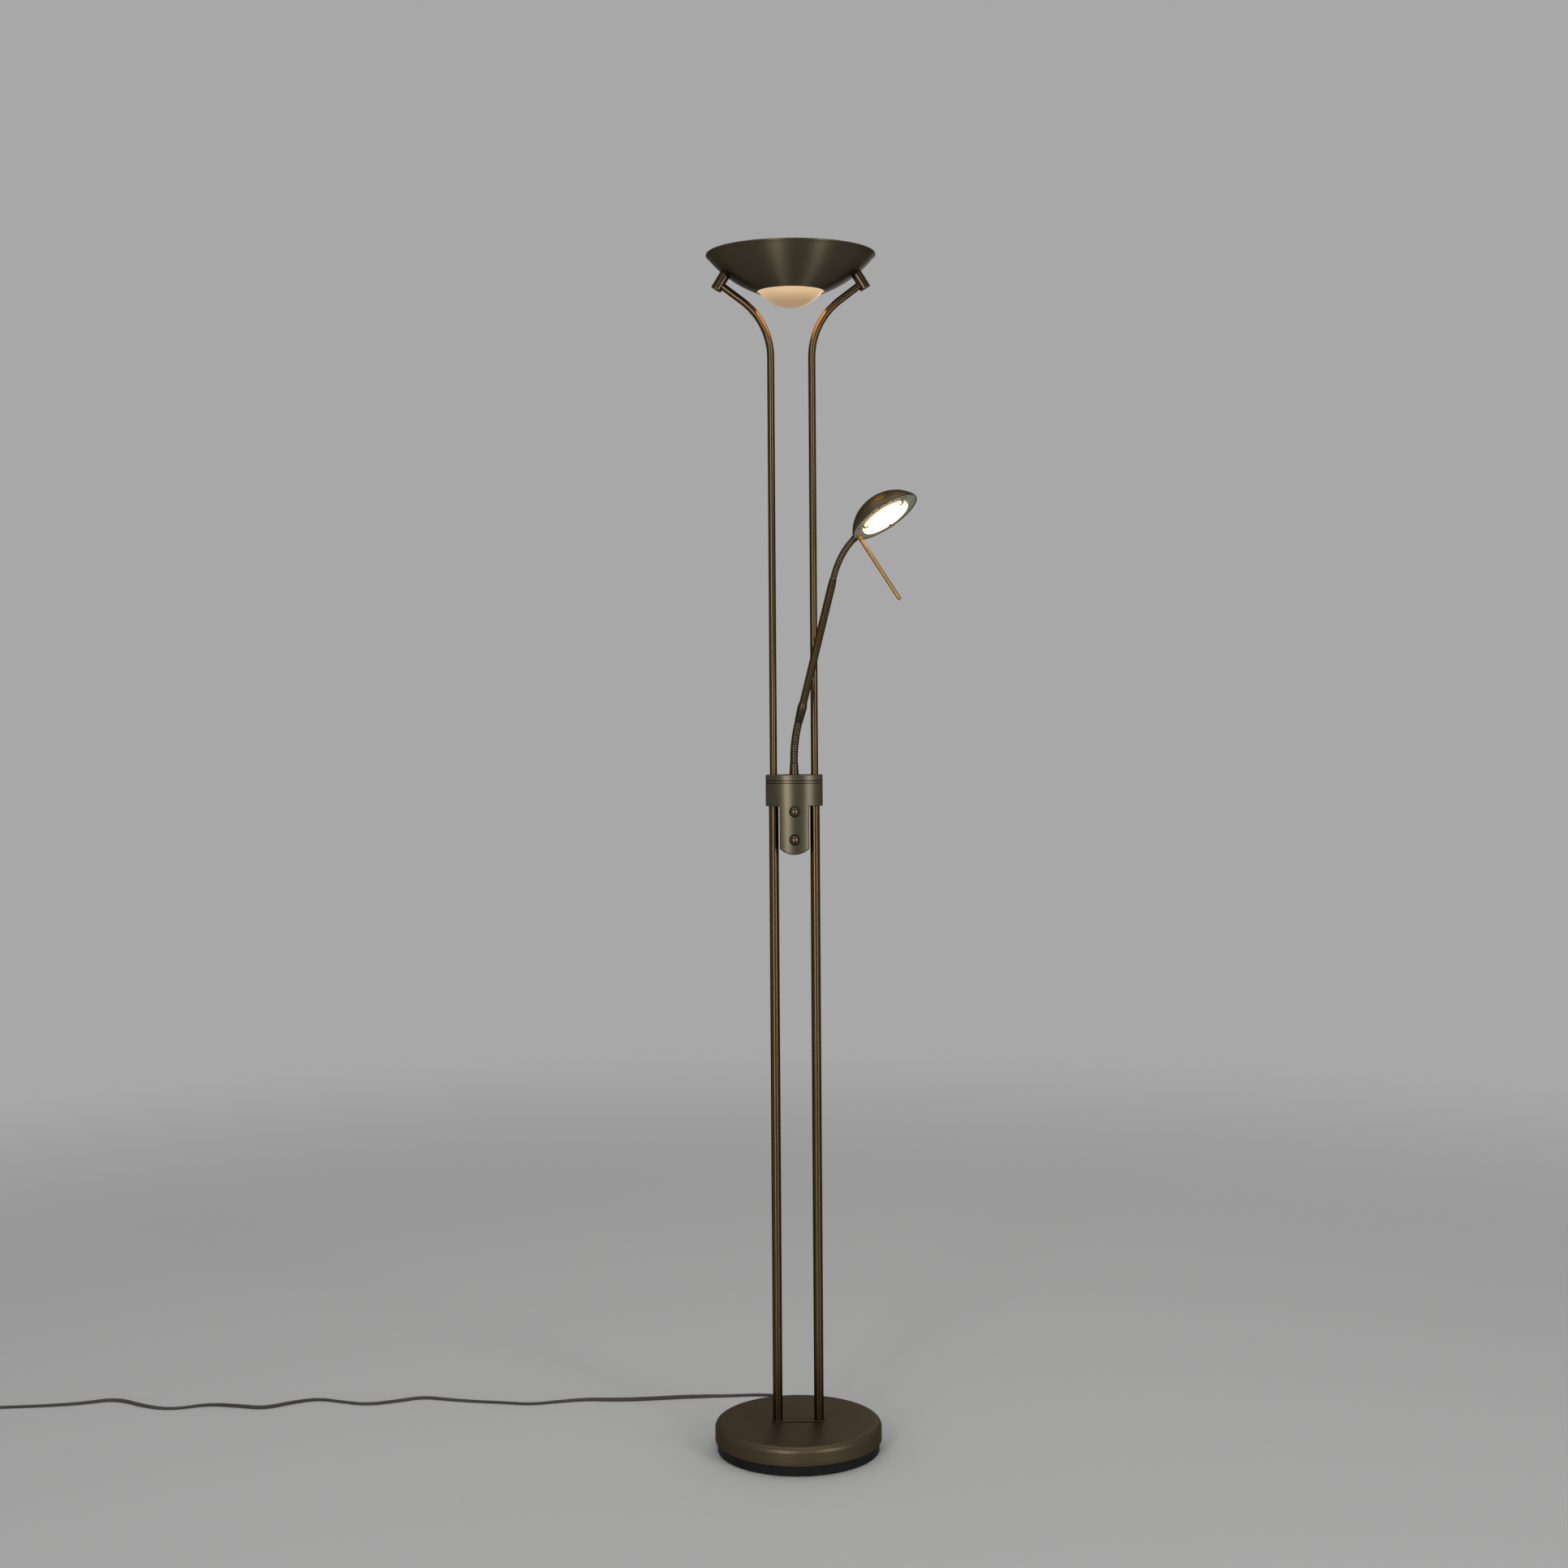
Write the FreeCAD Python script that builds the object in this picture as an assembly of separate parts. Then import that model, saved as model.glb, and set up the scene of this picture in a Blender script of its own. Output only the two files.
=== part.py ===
import FreeCAD, Part
import math
import os

# Torchiere floor lamp with a reading light on a double gooseneck.
# Millimetres. The origin is the centre of the base's underside, on the floor.
# +Z is up, -Y is the front with the dimmer knobs, and the reading arm leans to +X.

Vector = FreeCAD.Vector
ORIGIN = Vector(0, 0, 0)
UP = Vector(0, 0, 1)

# ---------------------------------------------------------------- driving dimensions

# Clearances
seat_gap = 0.05          # radial gap of a round piece that is seated or pressed in
loose_gap = 0.3          # gap between neighbours that don't touch
running_gap = 0.04       # radial gap of a turning shaft

# Whole lamp
total_height = 1800.0
post_spacing = 62.0

# Base
base_radius = 125.5
base_height = 43.0
base_edge_round = 9.0
cover_wall = 1.2
tray_radius = 122.0
tray_band_height = 16.0
tray_lip_height = 10.0
tray_wall = 3.0
foot_radius = 10.0
foot_thickness = 2.5
foot_proud = 1.0
foot_circle = 98.0
foot_count = 5
weight_thickness = 18.0
weight_boss_radius = 13.0
nut_pocket_depth = 9.0
terminal_pocket = (44.0, 34.0)
terminal_pocket_middle = 62.0
lead_channel = 9.0
base_screw_circle = 84.0
base_screw_count = 3
base_screw_radius = 2.0
base_screw_head_radius = 4.0
base_screw_head = 2.2
base_screw_length = 14.0
terminal_block_size = (30.0, 18.0, 12.0)

# Flange and post feet
flange_length = 82.0
flange_width = 20.0
flange_thickness = 1.5
nipple_radius = 5.0
nipple_bore = 3.2
foot_nut_radius = 9.0
foot_nut_thickness = 6.0
foot_bush_length = 22.0

# Posts
lower_post_radius = 7.2
lower_post_wall = 1.0
upper_post_radius = 5.45
upper_post_wall = 0.9
bend_start_drop = 155.0    # from the lamp's top down to where the posts start to bend
bend_radius = 107.0
bend_angle = 53.0
boss_reach = 107.7
joiner_plug_length = 18.0
joiner_disc = 2.0
joiner_bore = 2.6
lead_radius = 1.7

# Bowl bosses
boss_radius = 8.3
boss_length = 24.0
boss_tilt = 31.5
boss_screw_radius = 2.4
boss_screw_head_radius = 4.5
boss_screw_head = 3.0

# Bowl and its lights
rim_radius = 128.0
rim_bead_radius = 1.5
bowl_depth = 56.5
bowl_opening_radius = 51.0
bowl_curve_radius = 170.0
bowl_wall = 1.0
dome_radius = 49.7
dome_drop = 24.0
dome_wall = 3.0
dome_flange = 6.0
dome_clip_width = 8.0
dome_clip_thickness = 1.2
dome_clip_overlap = 3.0
dome_clip_length = 15.0
dome_clip_count = 3
reflector_wall = 0.8
reflector_inner_radius = 71.0
reflector_outer_radius = 118.0
bridge_drop = 34.0         # from the lamp's top down to the bridge's underside
bridge_width = 24.0
bridge_thickness = 1.2
holder_size = (16.0, 14.0, 20.0)
lamp_length = 117.6
lamp_radius = 5.5
lamp_cap_radius = 3.5
lamp_cap_length = 9.0
lamp_axis_rise = 12.0
guard_glass_size = (176.0, 58.0, 3.0)
guard_clip_width = 12.0
guard_clip_thickness = 1.0
guard_clip_shelf = 6.0

# Switch housing between the posts
housing_bottom = 968.6
housing_height = 47.4
housing_width = 86.0
housing_half_depth = 20.0
housing_front_radius = 64.0
housing_back_radius = 110.0
housing_corner_round = 4.5
housing_edge_round = 1.6
housing_wall = 1.6
groove_drops = (8.6, 12.8)
groove_width = 1.0
groove_depth = 0.5
tongue_width = 44.6
tongue_bottom = 896.0
tongue_bottom_radius = 32.0
back_depth = 14.0
post_joint_height = 992.0
housing_screw_radius = 1.5
housing_screw_head_radius = 2.8
housing_screw_head = 1.6
housing_column_radius = 3.2
upper_screw_height = 1003.0
upper_screw_offset = 17.0
lower_screw_height = 940.0

# Dimmers and knobs
knob_heights = (961.0, 918.6)
knob_radius = 8.15
knob_skirt = 2.5
knob_dome = 6.0
knob_standoff = 0.6
shaft_radius = 3.0
bush_radius = 4.5
bush_length = 5.5
dimmer_size = (24.0, 11.0, 24.0)
dimmer_nut_radius = 7.0
dimmer_nut_thickness = 1.6
shaft_insert = 4.0

# Neck collar on the housing
neck_offset = -6.5
collar_bottom_radius = 7.2
collar_top_radius = 6.05
collar_height = 17.5
collar_stub_radius = 4.5
collar_nut_radius = 7.5
collar_nut_thickness = 4.0

# Lower gooseneck
lower_neck_radius = 6.0
lower_neck_pitch = 3.6
lower_neck_groove = 1.6
lower_neck_groove_depth = 0.8
lower_neck_ball_radius = 3.9
lower_neck_bore = 1.8
lower_neck_end_ribs = 3
lower_neck_link_ribs = 4
lower_neck_bends = (0.25, 0.5, 0.75, 1.0)

# Reading arm
arm_side_lean = 13.75
arm_front_lean = 23.5
arm_length = 233.0
arm_radius = 5.75
arm_wall = 0.9
sleeve_length = 32.4
sleeve_widest = 23.0
sleeve_radius = 7.1
arm_ferrule_length = 10.0
arm_ferrule_top_radius = 5.2

# Upper gooseneck
upper_neck_radius = 4.75
upper_neck_pitch = 2.66
upper_neck_groove = 1.1
upper_neck_groove_depth = 0.5
upper_neck_ball_radius = 3.0
upper_neck_bore = 1.3
upper_neck_end_ribs = 3
upper_neck_link_ribs = 4
upper_neck_bends = (0.14, 0.28, 0.41, 0.6, 0.82, 1.0)
head_side_lean = 43.1
head_front_lean = 23.8

# Reading head
head_radius = 53.5
head_skirt = 2.5
head_dome_height = 30.8
head_dome_drop = 18.2
head_wall = 0.9
head_facing = Vector(0.506, -0.275, -0.8174)
head_entry_height = 5.5
head_ferrule_length = 6.5
head_ferrule_radius = 5.0
head_ferrule_stub = 5.0
head_ferrule_hole = 12.0
head_ferrule_stub_radius = 2.6
head_nut_radius = 4.2
head_nut_thickness = 2.5
plate_recess = 1.0
plate_thickness = 0.8
plate_opening_radius = 34.5
slot_length = 6.0
slot_width = 1.6
slot_circle = 46.5
slot_groups = (107.0, 227.0)
slots_per_group = 5
slot_spacing = 14.0
head_glass_radius = 37.2
head_glass_thickness = 3.0
clip_angles = (47.0, 167.0, 287.0)
clip_width = 4.0
clip_thickness = 0.8
clip_reach = 6.5
clip_foot = 9.0
clip_screw_radius = 1.3
clip_screw_head_radius = 2.6
clip_screw_head = 1.4
clip_screw_length = 6.0
head_reflector_depth = 15.0
head_reflector_top_radius = 20.0
bulb_radius = 5.0
bulb_length = 32.0
socket_size = (14.0, 16.0, 11.0)
socket_start = 17.5
bulb_height = 8.5
handle_radius = 2.9
handle_length = 113.0
handle_radial_place = 47.0
handle_side_place = 6.5
handle_tip_round = 0.8
handle_collar_radius = 3.5
handle_collar_length = 6.5
handle_stud_radius = 1.8
handle_stud_length = 5.0

# Mains cord, its coil, tie and plug
cord_radius = 3.0
gland_radius = 5.0
gland_shoulder = 0.4
gland_height = 8.0
gland_tip_radius = 3.6
cord_route = (
    (0.0, 146.0, 6.5),
    (-1.5, 172.0, 4.2),
    (-5.0, 200.0, 3.05),
    (-14.0, 226.0, 3.05),
    (-36.0, 243.0, 3.05),
    (-68.0, 249.0, 3.05),
    (-108.8, 245.0, 3.05),
    (-156.0, 241.5, 3.05),
    (-204.8, 235.5, 3.05),
    (-246.0, 228.5, 3.05),
    (-292.0, 226.0, 3.05),
    (-340.0, 231.0, 3.05),
    (-384.0, 222.0, 3.05),
    (-428.0, 209.0, 3.05),
    (-472.0, 218.5, 3.05),
    (-519.0, 225.0, 3.05),
    (-566.0, 236.0, 3.05),
    (-607.0, 248.0, 3.05),
    (-648.0, 227.0, 3.05),
    (-692.0, 213.0, 3.05),
    (-733.0, 227.5, 3.05),
    (-774.0, 243.0, 3.05),
    (-814.0, 224.0, 3.05),
    (-852.0, 195.0, 3.05),
    (-898.0, 209.0, 3.05),
    (-949.0, 219.0, 3.05),
    (-999.0, 196.0, 3.05),
    (-1046.0, 210.0, 3.05),
    (-1103.0, 249.0, 3.05),
    (-1150.0, 229.0, 3.05),
    (-1199.0, 219.5, 3.05),
    (-1250.0, 214.0, 3.05),
    (-1299.0, 210.0, 3.05),
    (-1345.0, 207.0, 3.05),
)
coil_mean_radius = 33.0
coil_band = 13.0
coil_height = 11.0
tie_width = 8.0
tie_thickness = 1.0
plug_width = 26.0
plug_depth = 14.0
plug_length = 36.0
plug_tail = 30.0
plug_pin_radius = 2.0
plug_pin_length = 19.0
plug_pin_spacing = 18.6

# ---------------------------------------------------------------- worked-out places

post_offset = post_spacing / 2
tray_floor_top = foot_proud + tray_wall
weight_top = tray_floor_top + weight_thickness
cover_underside = base_height - cover_wall
flange_top = base_height + flange_thickness
lower_post_bore = lower_post_radius - lower_post_wall
upper_post_bore = upper_post_radius - upper_post_wall
housing_top = housing_bottom + housing_height
rim_top = total_height
arc_top_height = rim_top - 2 * rim_bead_radius
arc_top_radius = rim_radius - rim_bead_radius
bowl_bottom = rim_top - bowl_depth
bend_start_height = total_height - bend_start_drop
bridge_height = total_height - bridge_drop
bridge_top = bridge_height + bridge_thickness
lamp_axis_height = bridge_top + lamp_axis_rise


# ---------------------------------------------------------------- helpers

def direction(side_lean, front_lean):
    """Unit direction that leans to +X and to -Y by two angles, in degrees."""
    along = Vector(math.tan(math.radians(side_lean)), -math.tan(math.radians(front_lean)), 1)
    return along.normalize()


def polar(radius, angle, height=0.0):
    """Point at a radius and an angle in degrees round the Z axis."""
    turn = math.radians(angle)
    return Vector(radius * math.cos(turn), radius * math.sin(turn), height)


def cylinder(radius, start, end):
    """Solid round bar from one point to another."""
    along = end - start
    return Part.makeCylinder(radius, along.Length, start, along)


def cone(start_radius, end_radius, start, end):
    """Solid taper from one point to another."""
    along = end - start
    return Part.makeCone(start_radius, end_radius, along.Length, start, along)


def pipe(radius, bore, start, end):
    """Straight hollow bar with an outer and an inner radius."""
    return cylinder(radius, start, end).cut(cylinder(bore, start, end))


def block(size, centre, bottom):
    """Box with a size in X, Y and Z, centred in X and Y, that stands on a height."""
    corner = Vector(centre[0] - size[0] / 2, centre[1] - size[1] / 2, bottom)
    return Part.makeBox(size[0], size[1], size[2], corner)


def outline(start, *steps):
    """Closed face of straight and curved steps: a pair of points is an arc through the first to the second."""
    edges = []
    last = start
    for step in steps + (start,):
        if isinstance(step, tuple):
            edges.append(Part.Arc(last, step[0], step[1]).toShape())
            last = step[1]
        elif (step - last).Length > 1e-7:
            edges.append(Part.LineSegment(last, step).toShape())
            last = step
    return Part.Face(Part.Wire(edges))


def section(start, *steps):
    """Closed face in the XZ plane from pairs of radius and height; arcs are given as pairs of pairs."""
    def lift(point):
        return Vector(point[0], 0, point[1])
    lifted = []
    for step in steps:
        if isinstance(step[0], tuple):
            lifted.append((lift(step[0]), lift(step[1])))
        else:
            lifted.append(lift(step))
    return outline(lift(start), *lifted)


def turned(face):
    """Solid of a section turned once round the Z axis."""
    return face.revolve(ORIGIN, UP, 360)


def hexagon(radius, bottom_centre, axis, thickness):
    """Hexagonal nut blank with its corners at a radius, standing on a point along an axis."""
    corners = [polar(radius, 60 * index) for index in range(6)]
    blank = Part.Face(Part.makePolygon(corners + corners[:1])).extrude(UP * thickness)
    return placed(blank, bottom_centre, axis)


def placed(shape, place, axis, towards=None):
    """Copy of a shape whose Z axis is turned to an axis and whose origin is moved to a place.

    Where towards is given, the shape's X axis is turned to lie as near to it as it can.
    """
    z_axis = Vector(axis).normalize()
    if towards is None:
        turn = FreeCAD.Rotation(UP, z_axis)
    else:
        x_axis = (towards - z_axis * towards.dot(z_axis)).normalize()
        turn = FreeCAD.Rotation(x_axis, z_axis.cross(x_axis), z_axis, "ZXY")
    moved = shape.copy()
    moved.Placement = FreeCAD.Placement(place, turn).multiply(moved.Placement)
    return moved


def mirrored(shape):
    """The same piece on the other side of the YZ plane."""
    return shape.mirror(ORIGIN, Vector(1, 0, 0))


def ring_of(shape, count, start_angle=0.0):
    """Copies of a piece, evenly spaced round the Z axis."""
    copies = []
    for index in range(count):
        copy = shape.copy()
        copy.rotate(ORIGIN, UP, start_angle + index * 360.0 / count)
        copies.append(copy)
    return copies


def joined(first, *others):
    """One solid of pieces that touch or overlap."""
    return first.fuse(list(others)).removeSplitter()


def export(node, *solids):
    """Write one sub-part, as a group of solids where it has more than one."""
    shape = solids[0] if len(solids) == 1 else Part.makeCompound(list(solids))
    shape.exportStep(f"parts/{node}.step")


# ---------------------------------------------------------------- base

def base_tray():
    """Black moulded tray: the dark band under the cover, with recesses for the pads and the screws."""
    band_top = tray_band_height
    lip_radius = base_radius - cover_wall - loose_gap
    lip_top = band_top + tray_lip_height
    bore = tray_radius - tray_wall
    body = turned(section(
        (0, foot_proud), (tray_radius, foot_proud), (tray_radius, band_top), (lip_radius, band_top),
        (lip_radius, lip_top), (bore, lip_top), (bore, tray_floor_top), (0, tray_floor_top),
    ))
    recess_depth = foot_thickness - foot_proud
    middle_recess = Part.makeCylinder(foot_radius + seat_gap, recess_depth, UP * foot_proud)
    recess = middle_recess.translated(Vector(foot_circle, 0, 0))
    screw_hole = Part.makeCylinder(base_screw_radius + seat_gap, tray_wall, polar(base_screw_circle, 0, foot_proud))
    head_recess = Part.makeCylinder(
        base_screw_head_radius + seat_gap, base_screw_head, polar(base_screw_circle, 0, foot_proud))
    gland_hole = cylinder(
        gland_radius + seat_gap, Vector(0, bore - tray_wall, gland_height), Vector(0, base_radius, gland_height))
    cuts = ring_of(recess, foot_count, base_foot_start())
    cuts += ring_of(screw_hole.fuse(head_recess), base_screw_count, base_screw_start())
    return body.cut(cuts + [middle_recess, gland_hole])


def base_foot_start():
    """Angle of the first pad, half a step off the cord's side."""
    return 90 + 180.0 / foot_count


def base_screw_start():
    """Angle of the first tray screw, opposite the cord."""
    return 270.0


def base_pads():
    """Round pads under the tray: a ring of them and one in the middle."""
    pad = Part.makeCylinder(foot_radius, foot_thickness)
    return ring_of(pad.translated(Vector(foot_circle, 0, 0)), foot_count, base_foot_start()) + [pad]


def base_screws():
    """Countersunk-in screws that hold the tray to the weight."""
    head = Part.makeCylinder(base_screw_head_radius, base_screw_head, Vector(base_screw_circle, 0, foot_proud))
    shank = Part.makeCylinder(base_screw_radius, base_screw_length, Vector(base_screw_circle, 0, foot_proud))
    return ring_of(joined(head, shank), base_screw_count, base_screw_start())


def base_weight():
    """Cast disc that keeps the lamp upright, with bosses under the posts and room for the wiring."""
    radius = tray_radius - tray_wall - loose_gap
    disc = Part.makeCylinder(radius, weight_thickness, Vector(0, 0, tray_floor_top))
    boss_height = cover_underside - tray_floor_top
    bosses = [Part.makeCylinder(weight_boss_radius, boss_height, Vector(side * post_offset, 0, tray_floor_top))
              for side in (-1, 1)]
    body = joined(disc, *bosses)
    cuts = []
    for side in (-1, 1):
        foot = Vector(side * post_offset, 0, tray_floor_top)
        cuts.append(Part.makeCylinder(foot_nut_radius + loose_gap, nut_pocket_depth, foot))
        cuts.append(cylinder(nipple_radius + seat_gap, foot, Vector(foot.x, 0, base_height)))
    screw_depth = base_screw_length - tray_wall + loose_gap
    screw_hole = Part.makeCylinder(
        base_screw_radius + seat_gap, screw_depth, Vector(base_screw_circle, 0, tray_floor_top))
    cuts += ring_of(screw_hole, base_screw_count, base_screw_start())
    pocket = (terminal_pocket[0], terminal_pocket[1], weight_thickness)
    cuts.append(block(pocket, (0, terminal_pocket_middle), tray_floor_top))
    rear_length = radius - terminal_pocket_middle
    cuts.append(block((gland_radius * 2 + 2, rear_length, lead_channel + 2),
                      (0, terminal_pocket_middle + rear_length / 2), tray_floor_top))
    cuts.append(block((lead_channel, terminal_pocket_middle, lead_channel),
                      (-post_offset, terminal_pocket_middle / 2), tray_floor_top))
    cuts.append(block((post_offset, lead_channel, lead_channel),
                      (-post_offset / 2, terminal_pocket_middle - lead_channel / 2), tray_floor_top))
    return body.cut(cuts)


def base_cover():
    """Spun metal cover with a broad rounded edge."""
    inner = base_radius - cover_wall
    outer_round = base_radius - base_edge_round
    inner_round = base_edge_round - cover_wall
    middle = math.cos(math.radians(45))
    body = turned(section(
        (0, cover_underside), (outer_round, cover_underside),
        ((outer_round + inner_round * middle, base_height - base_edge_round + inner_round * middle),
         (inner, base_height - base_edge_round)),
        (inner, tray_band_height), (base_radius, tray_band_height),
        (base_radius, base_height - base_edge_round),
        ((outer_round + base_edge_round * middle, base_height - base_edge_round + base_edge_round * middle),
         (outer_round, base_height)),
        (0, base_height),
    ))
    holes = [cylinder(nipple_radius + seat_gap, Vector(side * post_offset, 0, 0),
                      Vector(side * post_offset, 0, base_height)) for side in (-1, 1)]
    return body.cut(holes)


def terminal_block():
    """Screw terminals in the weight's pocket, standing on the tray."""
    body = block(terminal_block_size, (0, terminal_pocket_middle), tray_floor_top)
    wells = []
    for index in (-1, 0, 1):
        place = Vector(index * terminal_block_size[0] / 3, terminal_pocket_middle,
                       tray_floor_top + terminal_block_size[2] / 2)
        wells.append(Part.makeCylinder(2.2, terminal_block_size[2], place))
    return body.cut(wells)


def base_flange():
    """Flat plate with round ends that both posts stand on."""
    half = flange_length / 2 - flange_width / 2
    side = flange_width / 2
    plate = outline(
        Vector(-half, -side, base_height), Vector(half, -side, base_height),
        (Vector(half + side, 0, base_height), Vector(half, side, base_height)),
        Vector(-half, side, base_height),
        (Vector(-half - side, 0, base_height), Vector(-half, -side, base_height)),
    ).extrude(UP * flange_thickness)
    holes = [Part.makeCylinder(nipple_radius + seat_gap, flange_thickness, Vector(x, 0, base_height))
             for x in (-post_offset, post_offset)]
    return plate.cut(holes)


def post_foot_pieces(side):
    """Threaded nipple, its nut under the weight and the bush in the post's foot."""
    x = side * post_offset
    nut_top = tray_floor_top + nut_pocket_depth
    nut_bottom = nut_top - foot_nut_thickness
    bush_top = flange_top + foot_bush_length
    nipple = pipe(nipple_radius, nipple_bore, Vector(x, 0, nut_bottom - 1), Vector(x, 0, bush_top - 2))
    nut = hexagon(foot_nut_radius, Vector(x, 0, nut_bottom), UP, foot_nut_thickness)
    nut = nut.cut(cylinder(nipple_radius + seat_gap, Vector(x, 0, nut_bottom), Vector(x, 0, nut_top)))
    bush = pipe(lower_post_bore - seat_gap, nipple_radius + seat_gap, Vector(x, 0, flange_top),
                Vector(x, 0, bush_top))
    return nipple, nut, bush


# ---------------------------------------------------------------- posts and bosses

def lower_post(side):
    """Thick tube from the base to the middle of the switch housing."""
    x = side * post_offset
    return pipe(lower_post_radius, lower_post_bore, Vector(x, 0, flange_top), Vector(x, 0, post_joint_height))


def post_joiner(side):
    """Stepped coupling inside both tubes, with a disc between their ends."""
    x = side * post_offset
    base = Vector(x, 0, post_joint_height)
    top = base + UP * joiner_disc
    plug = cylinder(lower_post_bore - seat_gap, base - UP * joiner_plug_length, base)
    disc = cylinder(lower_post_radius, base, top)
    stub = cylinder(upper_post_bore - seat_gap, top, top + UP * joiner_plug_length)
    bore = cylinder(joiner_bore, base - UP * joiner_plug_length, top + UP * joiner_plug_length)
    return joined(plug, disc, stub).cut(bore)


def bent_end_direction():
    """Direction of the right upper post past its bend."""
    turn = math.radians(bend_angle)
    return Vector(math.sin(turn), 0, math.cos(turn))


def boss_axis():
    """Direction of the right boss, from the bowl down and out."""
    turn = math.radians(boss_tilt)
    return Vector(math.sin(turn), 0, -math.cos(turn))


def bend_end():
    """Where the right upper post's bend ends on its centre line."""
    turn = math.radians(bend_angle)
    x = post_offset + bend_radius * (1 - math.cos(turn))
    return Vector(x, 0, bend_start_height + bend_radius * math.sin(turn))


def boss_joint():
    """Where the right upper post's centre line meets the boss's axis."""
    end = bend_end()
    along = bent_end_direction()
    return end + along * ((boss_reach - end.x) / along.x)


def bent_bar(radius, bore, bottom_height):
    """Right upper post's shape: straight, then bent outwards, ending on the boss's axis."""
    bottom = Vector(post_offset, 0, bottom_height)
    bend_start = Vector(post_offset, 0, bend_start_height)
    centre = Vector(post_offset + bend_radius, 0, bend_start_height)
    ring = Part.Face(Part.Wire(Part.Circle(bend_start, UP, radius).toShape()))
    if bore > 0:
        ring = ring.cut(Part.Face(Part.Wire(Part.Circle(bend_start, UP, bore).toShape())))
    straight = ring.extrude(bottom - bend_start)
    bend = ring.revolve(centre, Vector(0, 1, 0), bend_angle)
    end = bend_end()
    tip = boss_joint()
    if bore > 0:
        slope = pipe(radius, bore, end, tip)
    else:
        slope = cylinder(radius, end, tip)
    return joined(straight, bend, slope)


def upper_post():
    """Right thin tube from the housing to the bowl's boss, cut to the boss's side."""
    bar = bent_bar(upper_post_radius, upper_post_bore, post_joint_height + joiner_disc)
    joint = boss_joint()
    room = cylinder(boss_radius, joint - boss_axis() * boss_length * 2, joint + boss_axis() * boss_length * 2)
    return bar.cut(room)


def upper_lead():
    """Lead of the uplight in the left tube, as far as the bend."""
    x = post_offset - (upper_post_bore - lead_radius - loose_gap)
    start = post_joint_height + joiner_disc + joiner_plug_length
    return mirrored(cylinder(lead_radius, Vector(x, 0, start), Vector(x, 0, bend_start_height)))


def lower_lead():
    """Supply lead in the left lower post, from the foot bush to the joiner."""
    x = -post_offset + (lower_post_bore - lead_radius - loose_gap)
    start = flange_top + foot_bush_length
    end = post_joint_height - joiner_plug_length
    return cylinder(lead_radius, Vector(x, 0, start), Vector(x, 0, end))


def boss_top_reach():
    """Distance from the post's joint up the boss's axis to well inside the bowl."""
    return boss_length * 1.5


def bowl_boss():
    """Right boss: a short round bar whose top end fits the bowl's outside."""
    joint = boss_joint()
    bottom = joint + boss_axis() * boss_length * 0.42
    top = joint - boss_axis() * boss_top_reach()
    body = cylinder(boss_radius, bottom, top)
    edges = [edge for edge in body.Edges if edge.BoundBox.ZMax < joint.z]
    body = body.makeChamfer(0.6, [edge for edge in edges if edge.Closed and len(edge.Vertexes) == 1])
    body = body.cut(bowl_solid(0.0))
    return body.cut(boss_screw_room())


def boss_screw_top():
    """Where the boss's screw head starts, on the reflector's inner side."""
    joint = boss_joint()
    line = Part.LineSegment(joint, joint - boss_axis() * boss_top_reach()).toShape()
    inside = line.common(bowl_solid(reflector_offset() + reflector_wall))
    points = [vertex.Point for vertex in inside.Vertexes]
    return min(points, key=lambda point: (point - joint).Length)


def boss_screw_shank(radius, extra):
    """Shank of the right boss's screw, from its head down into the boss."""
    top = boss_screw_top()
    axis = boss_axis()
    contact = (top - boss_joint()).Length
    depth = contact - (boss_length * 0.3) + extra
    return cylinder(radius, top - axis * boss_screw_head, top + axis * depth)


def boss_screw_room():
    """Hole for the right boss's screw."""
    return boss_screw_shank(boss_screw_radius + seat_gap, loose_gap)


def boss_screw():
    """Right screw from inside the bowl into its boss, its head cut to the reflector's curve."""
    top = boss_screw_top()
    axis = boss_axis()
    head = cylinder(boss_screw_head_radius, top - axis * boss_screw_head, top + axis * boss_screw_head)
    head = head.common(bowl_solid(reflector_offset() + reflector_wall))
    return joined(head, boss_screw_shank(boss_screw_radius, 0.0))


# ---------------------------------------------------------------- bowl

def bowl_arc_centre():
    """Centre of the bowl's outer curve in the XZ plane, from its two ends and its radius."""
    middle_x = (arc_top_radius + bowl_opening_radius) / 2
    middle_z = (arc_top_height + bowl_bottom) / 2
    run = arc_top_radius - bowl_opening_radius
    rise = arc_top_height - bowl_bottom
    chord = math.hypot(run, rise)
    back = math.sqrt(bowl_curve_radius ** 2 - chord ** 2 / 4)
    return middle_x - back * rise / chord, middle_z + back * run / chord


def arc_height(radius, offset):
    """Height of the bowl's curve at a radius, moved inwards by an offset."""
    centre_x, centre_z = bowl_arc_centre()
    return centre_z - math.sqrt((bowl_curve_radius - offset) ** 2 - (radius - centre_x) ** 2)


def arc_steps(inner_radius, outer_radius, offset):
    """Start, through and end points of the bowl's curve between two radii."""
    middle = (inner_radius + outer_radius) / 2
    return [(radius, arc_height(radius, offset)) for radius in (inner_radius, middle, outer_radius)]


def bowl_solid(offset):
    """Everything inside the bowl's curve moved inwards by an offset, up to the rim."""
    start, through, end = arc_steps(bowl_opening_radius, arc_top_radius - 2 * offset, offset)
    floor = start[1]
    return turned(section((0, floor), start, (through, end), (end[0], rim_top), (0, rim_top)))


def bowl_shell(inner_radius, outer_radius, offset, wall):
    """Curved sheet that follows the bowl between two radii."""
    low = arc_steps(inner_radius, outer_radius, offset)
    high = arc_steps(inner_radius, outer_radius, offset + wall)
    return turned(section(low[0], (low[1], low[2]), high[2], (high[1], high[0])))


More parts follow.
